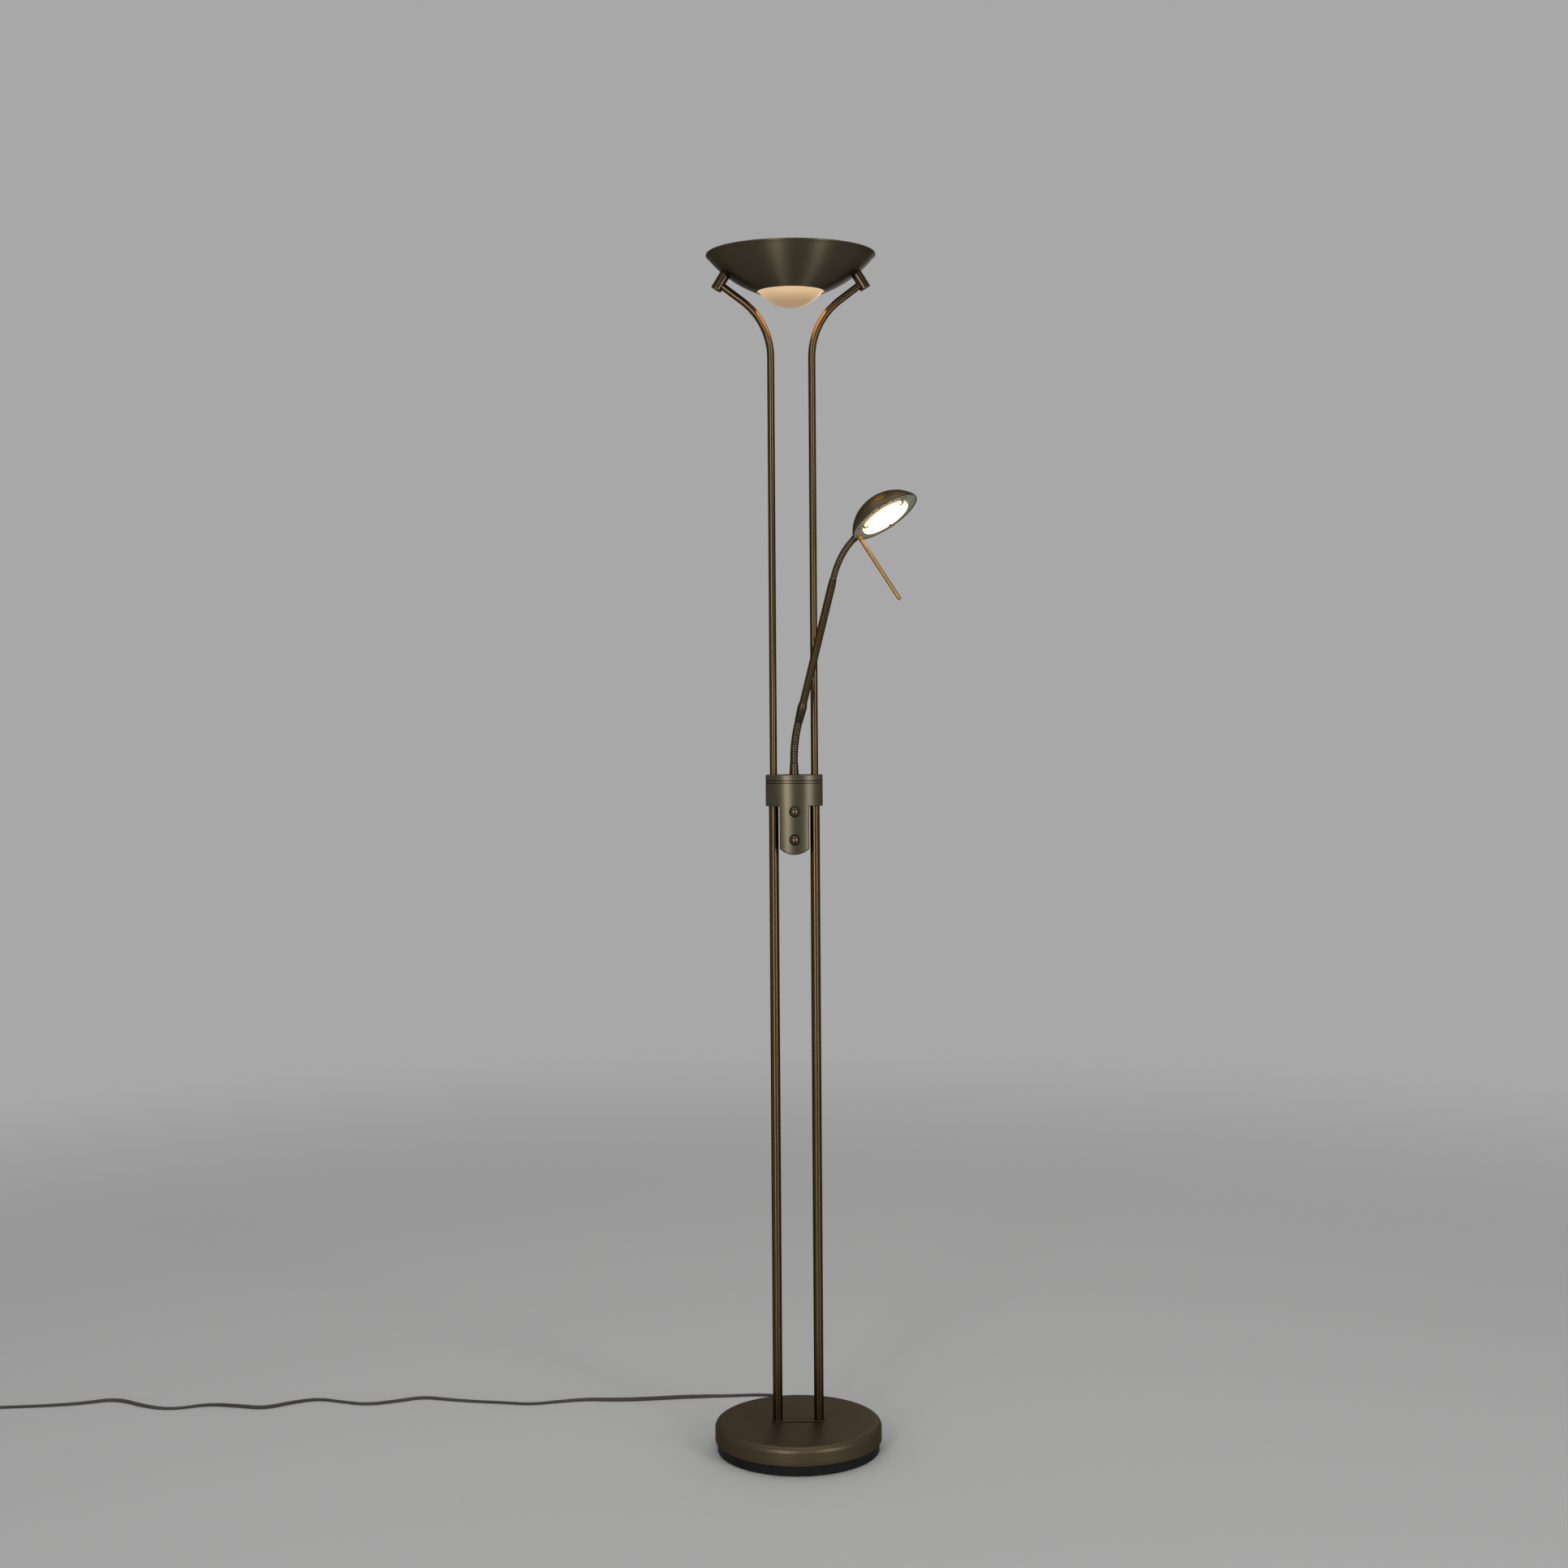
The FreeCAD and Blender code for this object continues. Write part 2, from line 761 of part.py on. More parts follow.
def uplight_bowl():
    """Spun metal bowl, open at the bottom, with a rolled rim."""
    sheet_edge = arc_top_radius
    sheet = bowl_shell(bowl_opening_radius, sheet_edge, 0.0, bowl_wall)
    bead = Part.makeTorus(arc_top_radius, rim_bead_radius, Vector(0, 0, rim_top - rim_bead_radius))
    holes = [boss_screw_room(), mirrored(boss_screw_room())]
    return joined(sheet, bead).cut(holes)


def reflector_offset():
    """Distance of the reflector's lower face from the bowl's outer curve."""
    return bowl_wall + loose_gap


def bowl_reflector():
    """Bright lining ring that lies on the bowl's inside."""
    ring = bowl_shell(reflector_inner_radius, reflector_outer_radius, reflector_offset(), reflector_wall)
    holes = [boss_screw_room(), mirrored(boss_screw_room())]
    return ring.cut(holes)


def dome_flange_bottom():
    """Height of the glass flange's underside, just clear of the bowl's slope."""
    return arc_height(dome_radius + dome_flange, bowl_wall) + loose_gap


def glass_dome():
    """Frosted glass that hangs through the bowl's opening by a flange."""
    flange_low = dome_flange_bottom()
    flange_high = flange_low + dome_wall
    bottom = bowl_bottom - dome_drop
    curve = (dome_radius ** 2 + (flange_low - bottom) ** 2) / (2 * (flange_low - bottom))
    centre = bottom + curve
    inner = curve - dome_wall
    inner_edge = math.sqrt(inner ** 2 - (centre - flange_high) ** 2)
    half = math.asin(dome_radius / curve) / 2
    inner_half = math.asin(inner_edge / inner) / 2
    return turned(section(
        (0, bottom),
        ((curve * math.sin(half), centre - curve * math.cos(half)), (dome_radius, flange_low)),
        (dome_radius + dome_flange, flange_low), (dome_radius + dome_flange, flange_high), (inner_edge, flange_high),
        ((inner * math.sin(inner_half), centre - inner * math.cos(inner_half)), (0, bottom + dome_wall)),
    ))


def dome_clips():
    """Spring clips on the bowl's inside that press on the glass flange."""
    shelf = dome_flange_bottom() + dome_wall
    start = dome_radius + dome_flange - dome_clip_overlap
    height = dome_clip_thickness
    tongue = Part.makeBox(dome_clip_length, dome_clip_width, height,
                          Vector(start, -dome_clip_width / 2, shelf))
    foot_start = dome_radius + dome_flange + 1.0
    foot_length = start + dome_clip_length - foot_start
    foot = Part.makeBox(foot_length, dome_clip_width, shelf - bowl_bottom,
                        Vector(foot_start, -dome_clip_width / 2, bowl_bottom))
    clip = joined(tongue, foot).common(bowl_solid(bowl_wall))
    return ring_of(clip, dome_clip_count, 90)


def lamp_bridge():
    """Flat strip across the bowl that carries the uplight's lamp holders."""
    length = 2 * rim_radius
    strip = block((length, bridge_width, bridge_thickness), (0, 0), bridge_height)
    return strip.common(bowl_solid(reflector_offset() + reflector_wall))


def holder_offset():
    """Distance of a lamp holder's middle from the lamp's middle."""
    return lamp_length / 2 + holder_size[0] / 2 - lamp_cap_length


def lamp_holders():
    """Pair of ceramic end holders, each with a round socket for the lamp's cap."""
    solids = []
    for side in (-1, 1):
        body = block(holder_size, (side * holder_offset(), 0), bridge_top)
        inner_face = side * (holder_offset() - holder_size[0] / 2)
        socket_end = inner_face + side * (lamp_cap_length + loose_gap)
        socket = cylinder(lamp_cap_radius + seat_gap, Vector(inner_face, 0, lamp_axis_height),
                          Vector(socket_end, 0, lamp_axis_height))
        solids.append(body.cut(socket))
    return solids


def halogen_tube():
    """Double-ended lamp between the holders."""
    half = lamp_length / 2
    glass_half = half - lamp_cap_length - loose_gap
    glass = cylinder(lamp_radius, Vector(-glass_half, 0, lamp_axis_height), Vector(glass_half, 0, lamp_axis_height))
    caps = cylinder(lamp_cap_radius, Vector(-half, 0, lamp_axis_height), Vector(half, 0, lamp_axis_height))
    return joined(glass, caps)


def guard_glass_bottom():
    """Height of the guard glass, just over the lamp holders."""
    return bridge_top + holder_size[2] + loose_gap


def guard_clip_start():
    """Distance of the clips' inner side from the middle."""
    return holder_offset() + holder_size[0] / 2 + loose_gap


def guard_clips():
    """Sheet stands on the bridge whose shelves hold the guard glass at both ends."""
    low = guard_glass_bottom()
    start = guard_clip_start()
    wall = Part.makeBox(guard_clip_thickness, guard_clip_width, low - bridge_top,
                        Vector(start, -guard_clip_width / 2, bridge_top))
    shelf = Part.makeBox(guard_clip_shelf, guard_clip_width, guard_clip_thickness,
                         Vector(start, -guard_clip_width / 2, low - guard_clip_thickness))
    clip = joined(wall, shelf)
    return [clip, mirrored(clip)]


def guard_glass():
    """Clear glass pane over the uplight's lamp, resting on its clips."""
    return block(guard_glass_size, (0, 0), guard_glass_bottom()).common(bowl_solid(reflector_offset() + 2))


# ---------------------------------------------------------------- switch housing

def housing_plan(depth, half_width, shrink, rounding):
    """Half plan of the housing at height 0: a curved front and straight ends, flat at Y = 0.

    A negative depth is the front half and a positive one the back half.
    """
    radius = (housing_back_radius if depth > 0 else housing_front_radius) - shrink
    face = abs(depth) - shrink
    sign = 1 if depth > 0 else -1
    centre = sign * (face - radius)
    half = half_width - shrink
    edge = centre + sign * math.sqrt(radius ** 2 - half ** 2)
    plan = outline(
        Vector(-half, 0, 0), Vector(-half, edge, 0), (Vector(0, sign * face, 0), Vector(half, edge, 0)),
        Vector(half, 0, 0),
    )
    block_up = plan.extrude(UP)
    if rounding <= 0:
        return plan
    corners = [corner for corner in block_up.Edges
               if abs(corner.BoundBox.ZLength - 1) < 1e-6 and abs(corner.BoundBox.YMin) > 1e-6
               and corner.BoundBox.YLength < 1e-6]
    rounded = block_up.makeFillet(rounding, corners)
    return [face for face in rounded.Faces if abs(face.CenterOfMass.z) < 1e-6][0]


def tongue_front_outline(shrink):
    """Front view of the tongue: straight sides and a curved bottom, as a solid along Y."""
    half = tongue_width / 2 - shrink
    radius = tongue_bottom_radius - shrink
    bottom = tongue_bottom + shrink
    side = bottom + radius - math.sqrt(radius ** 2 - half ** 2)
    top = housing_bottom + housing_height / 2
    view = outline(
        Vector(-half, 0, top), Vector(-half, 0, side), (Vector(0, 0, bottom), Vector(half, 0, side)),
        Vector(half, 0, top),
    )
    view.translate(Vector(0, -2 * housing_half_depth, 0))
    return view.extrude(Vector(0, 4 * housing_half_depth, 0))


def housing_block(depth, shrink):
    """Solid of one half of the housing, the body and its tongue, drawn in by a wall."""
    rounding = max(housing_corner_round - shrink, 0)
    sign = 1 if depth > 0 else -1
    body_plan = housing_plan(depth, housing_width / 2, shrink, rounding)
    body = body_plan.copy()
    body.translate(UP * (housing_bottom + shrink))
    body = body.extrude(UP * (housing_height - 2 * shrink))
    if shrink == 0:
        edges = [edge for edge in body.Edges
                 if edge.BoundBox.ZLength < 1e-6 and not edge.BoundBox.YLength < 1e-6]
        edges += [edge for edge in body.Edges if edge.BoundBox.ZLength < 1e-6 and edge.BoundBox.YLength < 1e-6
                  and abs(edge.BoundBox.YMin) > 1e-6]
        body = body.makeFillet(housing_edge_round, edges)
    tongue_plan = housing_plan(depth, housing_width / 2, shrink, 0)
    tongue = tongue_plan.copy()
    tongue.translate(UP * tongue_bottom)
    tongue = tongue.extrude(UP * (housing_bottom + housing_height / 2 - tongue_bottom))
    tongue = tongue.common(tongue_front_outline(shrink))
    if shrink == 0:
        face_y = sign * abs(depth)
        rim = [edge for edge in tongue.Edges
               if edge.BoundBox.ZMin < housing_bottom + 1e-3 and abs(edge.BoundBox.YMin) > 1e-3
               and abs(edge.BoundBox.YMax) > 1e-3 and abs(abs(edge.CenterOfMass.y) - abs(face_y)) < 6]
        tongue = tongue.makeFillet(housing_edge_round * 1.5, rim)
    return joined(body, tongue)


def post_room(clearance):
    """Both lower and both upper posts' room through the housing."""
    solids = []
    for side in (-1, 1):
        x = side * post_offset
        low = Vector(x, 0, tongue_bottom)
        joint = Vector(x, 0, post_joint_height + joiner_disc)
        high = Vector(x, 0, housing_top + 1)
        solids.append(cylinder(lower_post_radius + clearance, low, joint))
        solids.append(cylinder(upper_post_radius + clearance, joint, high))
    return solids


def groove_tools():
    """Two fine grooves round the housing's upper part."""
    tools = []
    for drop in groove_drops:
        bottom = housing_top - drop - groove_width / 2
        for depth in (-housing_half_depth, back_depth):
            outer = housing_plan(depth, housing_width / 2, -1, housing_corner_round)
            inner = housing_plan(depth, housing_width / 2, groove_depth, housing_corner_round)
            ring = outer.cut(inner)
            ring.translate(UP * bottom)
            tools.append(ring.extrude(UP * groove_width))
    return tools


def housing_screw_places():
    """X and Z of the screws that join the two halves."""
    return ((-upper_screw_offset, upper_screw_height), (upper_screw_offset, upper_screw_height),
            (0.0, lower_screw_height))


def dimmer_face():
    """Y of the dimmers' front, against the inside of the tongue's wall."""
    return -(housing_half_depth - housing_wall) + dimmer_nut_room()


def dimmer_nut_room():
    """Room between the curved wall's inside and the flat front of the dimmers."""
    return 1.2


def housing_front():
    """Front half of the housing with the tongue, the knobs' holes and the screw columns."""
    body = housing_block(-housing_half_depth, 0.0).cut(housing_block(-housing_half_depth, housing_wall))
    columns = []
    for x, z in housing_screw_places():
        columns.append(cylinder(housing_column_radius, Vector(x, -housing_half_depth, z), Vector(x, 0, z)))
    columns = [column.common(housing_block(-housing_half_depth, housing_wall / 2)) for column in columns]
    body = joined(body, *columns)
    cuts = post_room(seat_gap) + groove_tools()
    for x, z in housing_screw_places():
        cuts.append(cylinder(housing_screw_radius + seat_gap, Vector(x, -10, z), Vector(x, 0, z)))
    for height in knob_heights:
        cuts.append(cylinder(bush_radius + seat_gap, Vector(0, -2 * housing_half_depth, height),
                             Vector(0, dimmer_face(), height)))
    cuts.append(cylinder(collar_stub_radius + seat_gap, Vector(0, neck_offset, housing_top - 3),
                         Vector(0, neck_offset, housing_top + 1)))
    return body.cut(cuts)


def housing_back():
    """Back half of the housing that clamps the posts and closes the tongue."""
    body = housing_block(back_depth, 0.0).cut(housing_block(back_depth, housing_wall))
    cuts = post_room(seat_gap) + groove_tools()
    columns = []
    for x, z in housing_screw_places():
        columns.append(cylinder(housing_column_radius, Vector(x, 0, z), Vector(x, back_depth, z)))
        cuts.append(cylinder(housing_screw_radius + seat_gap, Vector(x, 0, z), Vector(x, back_depth + 1, z)))
        cuts.append(cylinder(housing_screw_head_radius + seat_gap,
                             Vector(x, housing_screw_seat(), z), Vector(x, back_depth + 1, z)))
    columns = [column.common(housing_block(back_depth, housing_wall / 2)) for column in columns]
    return joined(body, *columns).cut(cuts)


def housing_screw_seat():
    """Y of the seat under the housing screws' heads."""
    return back_depth - 4.5


def housing_screws():
    """Screws from the back into the front half's columns."""
    solids = []
    for x, z in housing_screw_places():
        seat = Vector(x, housing_screw_seat(), z)
        head = cylinder(housing_screw_head_radius, seat, seat + Vector(0, housing_screw_head, 0))
        shank = cylinder(housing_screw_radius, Vector(x, -9, z), seat)
        solids.append(joined(head, shank))
    return solids


def dimmer(height):
    """Rotary dimmer behind the tongue: a flat box with a bush through the wall, bored for its shaft."""
    face = dimmer_face()
    corner = Vector(-dimmer_size[0] / 2, face, height - dimmer_size[2] / 2)
    body = Part.makeBox(*dimmer_size, corner)
    bush = cylinder(bush_radius, Vector(0, face - bush_length, height), Vector(0, face, height))
    bore_end = face + shaft_insert + loose_gap
    bore = cylinder(shaft_radius + running_gap, Vector(0, face - bush_length, height), Vector(0, bore_end, height))
    return joined(body, bush).cut(bore)


def dimmer_nut(height):
    """Flat nut on the dimmer's bush, in front of the wall and under the knob."""
    wall_front = -housing_half_depth
    end = Vector(0, wall_front - dimmer_nut_thickness, height)
    nut = placed(Part.makeCylinder(dimmer_nut_radius - 1, dimmer_nut_thickness), end, Vector(0, 1, 0))
    return nut.cut(cylinder(bush_radius + seat_gap, end, Vector(0, wall_front, height)))


def knob_back():
    """Y of the knobs' rear face, just clear of the tongue."""
    return -housing_half_depth - knob_standoff


def knob(height):
    """Domed round knob, hollow behind so that it covers the nut, with a blind bore for the shaft."""
    front = knob_skirt + knob_dome
    curve = (knob_radius ** 2 + knob_dome ** 2) / (2 * knob_dome)
    half = math.asin(knob_radius / curve) / 2
    recess_radius = dimmer_nut_radius - 1 + loose_gap
    recess_depth = max(dimmer_nut_thickness - knob_standoff, bush_front_reach()) + loose_gap
    bore = shaft_radius + seat_gap
    bore_end = shaft_reach()
    face = section(
        (0, bore_end), (bore, bore_end), (bore, recess_depth), (recess_radius, recess_depth), (recess_radius, 0),
        (knob_radius, 0), (knob_radius, knob_skirt),
        ((curve * math.sin(half), front - curve + curve * math.cos(half)), (0, front)),
    )
    return placed(turned(face), Vector(0, knob_back(), height), Vector(0, -1, 0))


def bush_front_reach():
    """How far the bush reaches past the knob's rear face."""
    return bush_length - (dimmer_face() - knob_back())


def shaft_reach():
    """How far the shaft reaches into the knob from its rear face."""
    return knob_skirt + knob_dome - 2.5


def knob_shaft(height):
    """Shaft that carries the knob and turns in the dimmer's bush."""
    front = knob_back() - shaft_reach() + seat_gap
    return cylinder(shaft_radius, Vector(0, dimmer_face() + shaft_insert, height), Vector(0, front, height))


# ---------------------------------------------------------------- goosenecks

class Neck:
    """One gooseneck: ribbed links joined by hidden balls, bent as the photograph shows it."""

    def __init__(self, start, lean_from, lean_to, bends, radius, pitch, groove, groove_depth, ball_radius, bore,
                 end_ribs, link_ribs):
        self.radius = radius
        self.pitch = pitch
        self.groove = groove
        self.core_radius = radius - groove_depth
        self.ball_radius = ball_radius
        self.socket_radius = ball_radius + loose_gap
        self.bore = bore
        shares = (0.0,) + tuple(bends)
        lengths = [end_ribs * pitch] + [link_ribs * pitch] * (len(bends) - 1) + [end_ribs * pitch]
        self.points = [start]
        self.directions = []
        for share, length in zip(shares, lengths):
            side_lean = lean_from[0] + share * (lean_to[0] - lean_from[0])
            front_lean = lean_from[1] + share * (lean_to[1] - lean_from[1])
            along = direction(side_lean, front_lean)
            self.directions.append(along)
            self.points.append(self.points[-1] + along * length)

    @property
    def end(self):
        """Last point of the centre line."""
        return self.points[-1]

    def piece(self, index):
        """Ribbed length between two hinges, with a ball on its top end and a socket in its bottom end."""
        start = self.points[index]
        end = self.points[index + 1]
        along = self.directions[index]
        length = (end - start).Length
        first = index == 0
        last = index == len(self.directions) - 1
        low = 0.0 if first else self.groove / 2
        high = length if last else length - self.groove / 2
        ribs = round(length / self.pitch)
        solid = Part.makeCylinder(self.core_radius, high - low, UP * low)
        rib_edge = self.groove / 2
        for rib in range(ribs):
            base = rib * self.pitch + rib_edge
            solid = solid.fuse(self.rib(base, self.pitch - self.groove))
        solid = solid.removeSplitter()
        if not last:
            neck_radius = self.ball_radius * 0.72
            solid = joined(solid, Part.makeCylinder(neck_radius, length - high + 0.01, UP * high),
                           Part.makeSphere(self.ball_radius, UP * length))
        if not first:
            solid = solid.cut(Part.makeSphere(self.socket_radius, ORIGIN))
        solid = solid.cut(Part.makeCylinder(self.bore, length * 3, UP * -length))
        return placed(solid, start, along)

    def rib(self, base, width):
        """One rounded rib that stands on a height."""
        round_off = min(width, self.radius - self.core_radius) * 0.6
        bulge = round_off * (1 - math.cos(math.radians(45)))
        top = base + width
        return turned(section(
            (0, base), (self.radius - round_off, base),
            ((self.radius - bulge, base + bulge), (self.radius, base + round_off)),
            (self.radius, top - round_off),
            ((self.radius - bulge, top - bulge), (self.radius - round_off, top)),
            (0, top),
        ))


lower_neck = Neck(
    Vector(0, neck_offset, housing_top + collar_height), (0.0, 0.0), (arm_side_lean, arm_front_lean),
    lower_neck_bends, lower_neck_radius, lower_neck_pitch, lower_neck_groove, lower_neck_groove_depth,
    lower_neck_ball_radius, lower_neck_bore, lower_neck_end_ribs, lower_neck_link_ribs)
arm_direction = direction(arm_side_lean, arm_front_lean)
arm_end = lower_neck.end + arm_direction * arm_length
upper_neck = Neck(
    arm_end, (arm_side_lean, arm_front_lean), (head_side_lean, head_front_lean), upper_neck_bends,
    upper_neck_radius, upper_neck_pitch, upper_neck_groove, upper_neck_groove_depth, upper_neck_ball_radius,
    upper_neck_bore, upper_neck_end_ribs, upper_neck_link_ribs)
head_direction = direction(head_side_lean, head_front_lean)


def neck_collar():
    """Tapered collar on the housing's top, with a threaded stub through it."""
    foot = Vector(0, neck_offset, housing_top)
    top = Vector(0, neck_offset, housing_top + collar_height)
    stub_end = foot - UP * (housing_wall + collar_nut_thickness + 1)
    body = joined(cone(collar_bottom_radius, collar_top_radius, foot, top),
                  cylinder(collar_stub_radius, stub_end, foot))
    return body.cut(cylinder(lower_neck_bore, stub_end, top))


def collar_nut():
    """Lock nut on the collar's stub, under the housing's top."""
    top = Vector(0, neck_offset, housing_top - housing_wall)
    bottom = top - UP * collar_nut_thickness
    nut = hexagon(collar_nut_radius, bottom, UP, collar_nut_thickness)
    return nut.cut(cylinder(collar_stub_radius + seat_gap, bottom, top))


def arm_point(distance):
    """Point on the arm's axis at a distance from the lower neck's end."""
    return lower_neck.end + arm_direction * distance


def arm_sleeve():
    """Flared sleeve that joins the lower neck to the arm's tube."""
    shoulder = sleeve_widest + 1.5
    bottom = lower_neck_radius + seat_gap
    body = turned(section(
        (0, 0), (bottom, 0), (sleeve_radius, sleeve_widest), (sleeve_radius, shoulder),
        (arm_radius + 0.15, sleeve_length), (0, sleeve_length),
    ))
    socket_start = sleeve_length * 0.3
    body = body.cut(Part.makeCylinder(arm_radius + seat_gap, sleeve_length, UP * socket_start))
    body = body.cut(Part.makeCylinder(lower_neck_bore, sleeve_length))
    return placed(body, lower_neck.end, arm_direction)


def arm_tube():
    """Straight tube of the reading arm."""
    start = arm_point(sleeve_length * 0.3)
    end = arm_point(arm_length - arm_ferrule_length)
    return pipe(arm_radius, arm_radius - arm_wall, start, end)


def arm_ferrule():
    """Tapered end piece that carries the upper neck, with a plug in the tube."""
    start = arm_point(arm_length - arm_ferrule_length)
    plug_start = arm_point(arm_length - 2 * arm_ferrule_length)
    body = joined(cone(arm_radius, arm_ferrule_top_radius, start, arm_end),
                  cylinder(arm_radius - arm_wall - seat_gap, plug_start, start))
    return body.cut(cylinder(upper_neck_bore, plug_start, arm_end))


# ---------------------------------------------------------------- reading head

head_up = (head_facing * -1).normalize()


def head_across():
    """Direction in the head's plane from its middle to the neck."""
    inwards = head_direction - head_up * head_direction.dot(head_up)
    return (inwards * -1).normalize()


def head_middle():
    """Middle of the head's rim plane, from where the neck's ferrule meets the shade."""
    return ferrule_contact() - head_across() * shade_radius(head_entry_height) - head_up * head_entry_height


def in_head(shape):
    """Piece drawn about the head's own axes, moved to the head: Z up the shade, X to the neck."""
    return placed(shape, head_middle(), head_up, head_across())


def shade_ellipse(offset):
    """Upright and level half-axes of the dome's ellipse, moved inwards by an offset, and its angle at the skirt."""
    upright = head_dome_height + head_dome_drop - offset
    start = math.asin(head_dome_drop / upright)
    return upright, (head_radius - offset) / math.cos(start), start


def shade_radius(height):
    """Outer radius of the dome at a height over the rim plane."""
    upright, level, _ = shade_ellipse(0.0)
    above = max(height - head_skirt, 0.0) + head_dome_drop
    return level * math.sqrt(1 - (above / upright) ** 2)


def shade_arc(offset):
    """Arc of the dome's ellipse in the XZ plane, from the skirt to the top, with its middle below the skirt."""
    upright, level, start = shade_ellipse(offset)
    middle = UP * (head_skirt - head_dome_drop)
    turns = (start, (start + math.pi / 2) / 2, math.pi / 2)
    circle = Part.Arc(*[middle + Vector(math.cos(turn), 0, math.sin(turn)) * upright for turn in turns]).toShape()
    stretch = FreeCAD.Matrix()
    stretch.scale(level / upright, 1, 1)
    return circle.transformGeometry(stretch)


def shade_solid(offset):
    """Everything inside the shade's outside, moved inwards by an offset."""
    rim = Vector(head_radius - offset, 0, 0)
    top = UP * (head_skirt + head_dome_height - offset)
    edges = [
        Part.LineSegment(ORIGIN, rim).toShape(), Part.LineSegment(rim, rim + UP * head_skirt).toShape(),
        shade_arc(offset), Part.LineSegment(top, ORIGIN).toShape(),
    ]
    return turned(Part.Face(Part.Wire(edges)))


def head_shade():
    """Spun dome of the reading head, with a hole for the ferrule's stub."""
    outer_rim = Vector(head_radius, 0, 0)
    inner_rim = Vector(head_radius - head_wall, 0, 0)
    outer_top = UP * (head_skirt + head_dome_height)
    inner_top = outer_top - UP * head_wall
    edges = [
        Part.LineSegment(inner_rim, outer_rim).toShape(),
        Part.LineSegment(outer_rim, outer_rim + UP * head_skirt).toShape(),
        shade_arc(0.0), Part.LineSegment(outer_top, inner_top).toShape(), shade_arc(head_wall),
        Part.LineSegment(inner_rim + UP * head_skirt, inner_rim).toShape(),
    ]
    body = turned(Part.Face(Part.Wire(edges)))
    body.rotate(ORIGIN, UP, 180)
    return in_head(body).cut(ferrule_room())


def ferrule_contact():
    """Where the ferrule's axis meets the shade's wall."""
    return upper_neck.end + head_direction * head_ferrule_length


def ferrule_room():
    """Hole for the ferrule's stub through the shade."""
    start = ferrule_contact() - head_direction * head_ferrule_stub
    return cylinder(head_ferrule_stub_radius + seat_gap, start, ferrule_contact() + head_direction * head_ferrule_hole)


def head_ferrule():
    """Smooth end piece of the upper neck, cut to the shade, with a threaded stub through its wall."""
    contact = ferrule_contact()
    body = cylinder(head_ferrule_radius, upper_neck.end, contact + head_direction * head_ferrule_stub)
    body = body.cut(in_head(shade_solid(0.0)))
    stub = cylinder(head_ferrule_stub_radius, upper_neck.end, contact + head_direction * (head_ferrule_stub + 1))
    return joined(body, stub).cut(cylinder(upper_neck_bore, upper_neck.end, contact + head_direction * head_ferrule_hole))


def head_nut():
    """Nut on the ferrule's stub inside the shade."""
    contact = ferrule_contact()
    start = contact + head_direction * (head_ferrule_stub - head_nut_thickness)
    nut = hexagon(head_nut_radius, start, head_direction, head_nut_thickness)
    end = start + head_direction * head_nut_thickness
    nut = nut.cut(cylinder(head_ferrule_stub_radius + seat_gap, start, end))
    return nut.common(in_head(shade_solid(head_wall)))


def plate_outer_radius():
    """Radius of the plate, which is seated in the shade's skirt."""
    return head_radius - head_wall - seat_gap


def clip_screw_circle():
    """Radius on which the clips' screws stand."""
    return head_glass_radius + loose_gap + clip_thickness + clip_foot / 2


def head_plate():
    """Flat ring that closes the shade round the glass, with short cooling slots."""
    body = Part.makeCylinder(plate_outer_radius(), plate_thickness, UP * plate_recess)
    cuts = [Part.makeCylinder(plate_opening_radius, plate_thickness, UP * plate_recess)]
    slot = block((slot_length, slot_width, plate_thickness), (slot_circle, 0), plate_recess)
    for group in slot_groups:
        for index in range(slots_per_group):
            turned_slot = slot.copy()
            turned_slot.rotate(ORIGIN, UP, group + (index - (slots_per_group - 1) / 2) * slot_spacing)
            cuts.append(turned_slot)
    for angle in clip_angles:
        cuts.append(Part.makeCylinder(clip_screw_radius + seat_gap, plate_thickness,
                                      polar(clip_screw_circle(), angle, plate_recess)))
    cuts.append(Part.makeCylinder(handle_stud_radius + seat_gap, plate_thickness, handle_root()))
    return in_head(body.cut(cuts))


def handle_root():
    """Where the handle stands on the plate's outer face, about the head's own axes."""
    return Vector(handle_radial_place, handle_side_place, plate_recess)


def head_glass():
    """Frosted disc in front of the plate's opening."""
    body = Part.makeCylinder(head_glass_radius, head_glass_thickness, UP * (plate_recess - head_glass_thickness))
    return in_head(body)


def glass_clips():
    """Three bent strips that hold the glass by its edge."""
    glass_face = plate_recess - head_glass_thickness
    riser_start = head_glass_radius + loose_gap
    tip_start = riser_start - clip_reach
    foot = Part.makeBox(clip_foot, clip_width, clip_thickness,
                        Vector(riser_start, -clip_width / 2, plate_recess - clip_thickness))
    riser = Part.makeBox(clip_thickness, clip_width, head_glass_thickness + clip_thickness,
                         Vector(riser_start, -clip_width / 2, glass_face - clip_thickness))
    tip = Part.makeBox(clip_reach, clip_width, clip_thickness,
                       Vector(tip_start, -clip_width / 2, glass_face - clip_thickness))
    hole = Part.makeCylinder(clip_screw_radius + seat_gap, clip_thickness,
                             Vector(clip_screw_circle(), 0, plate_recess - clip_thickness))
    clip = joined(foot, riser, tip).cut(hole)
    solids = []
    for angle in clip_angles:
        turned_clip = clip.copy()
        turned_clip.rotate(ORIGIN, UP, angle)
        solids.append(in_head(turned_clip))
    return solids


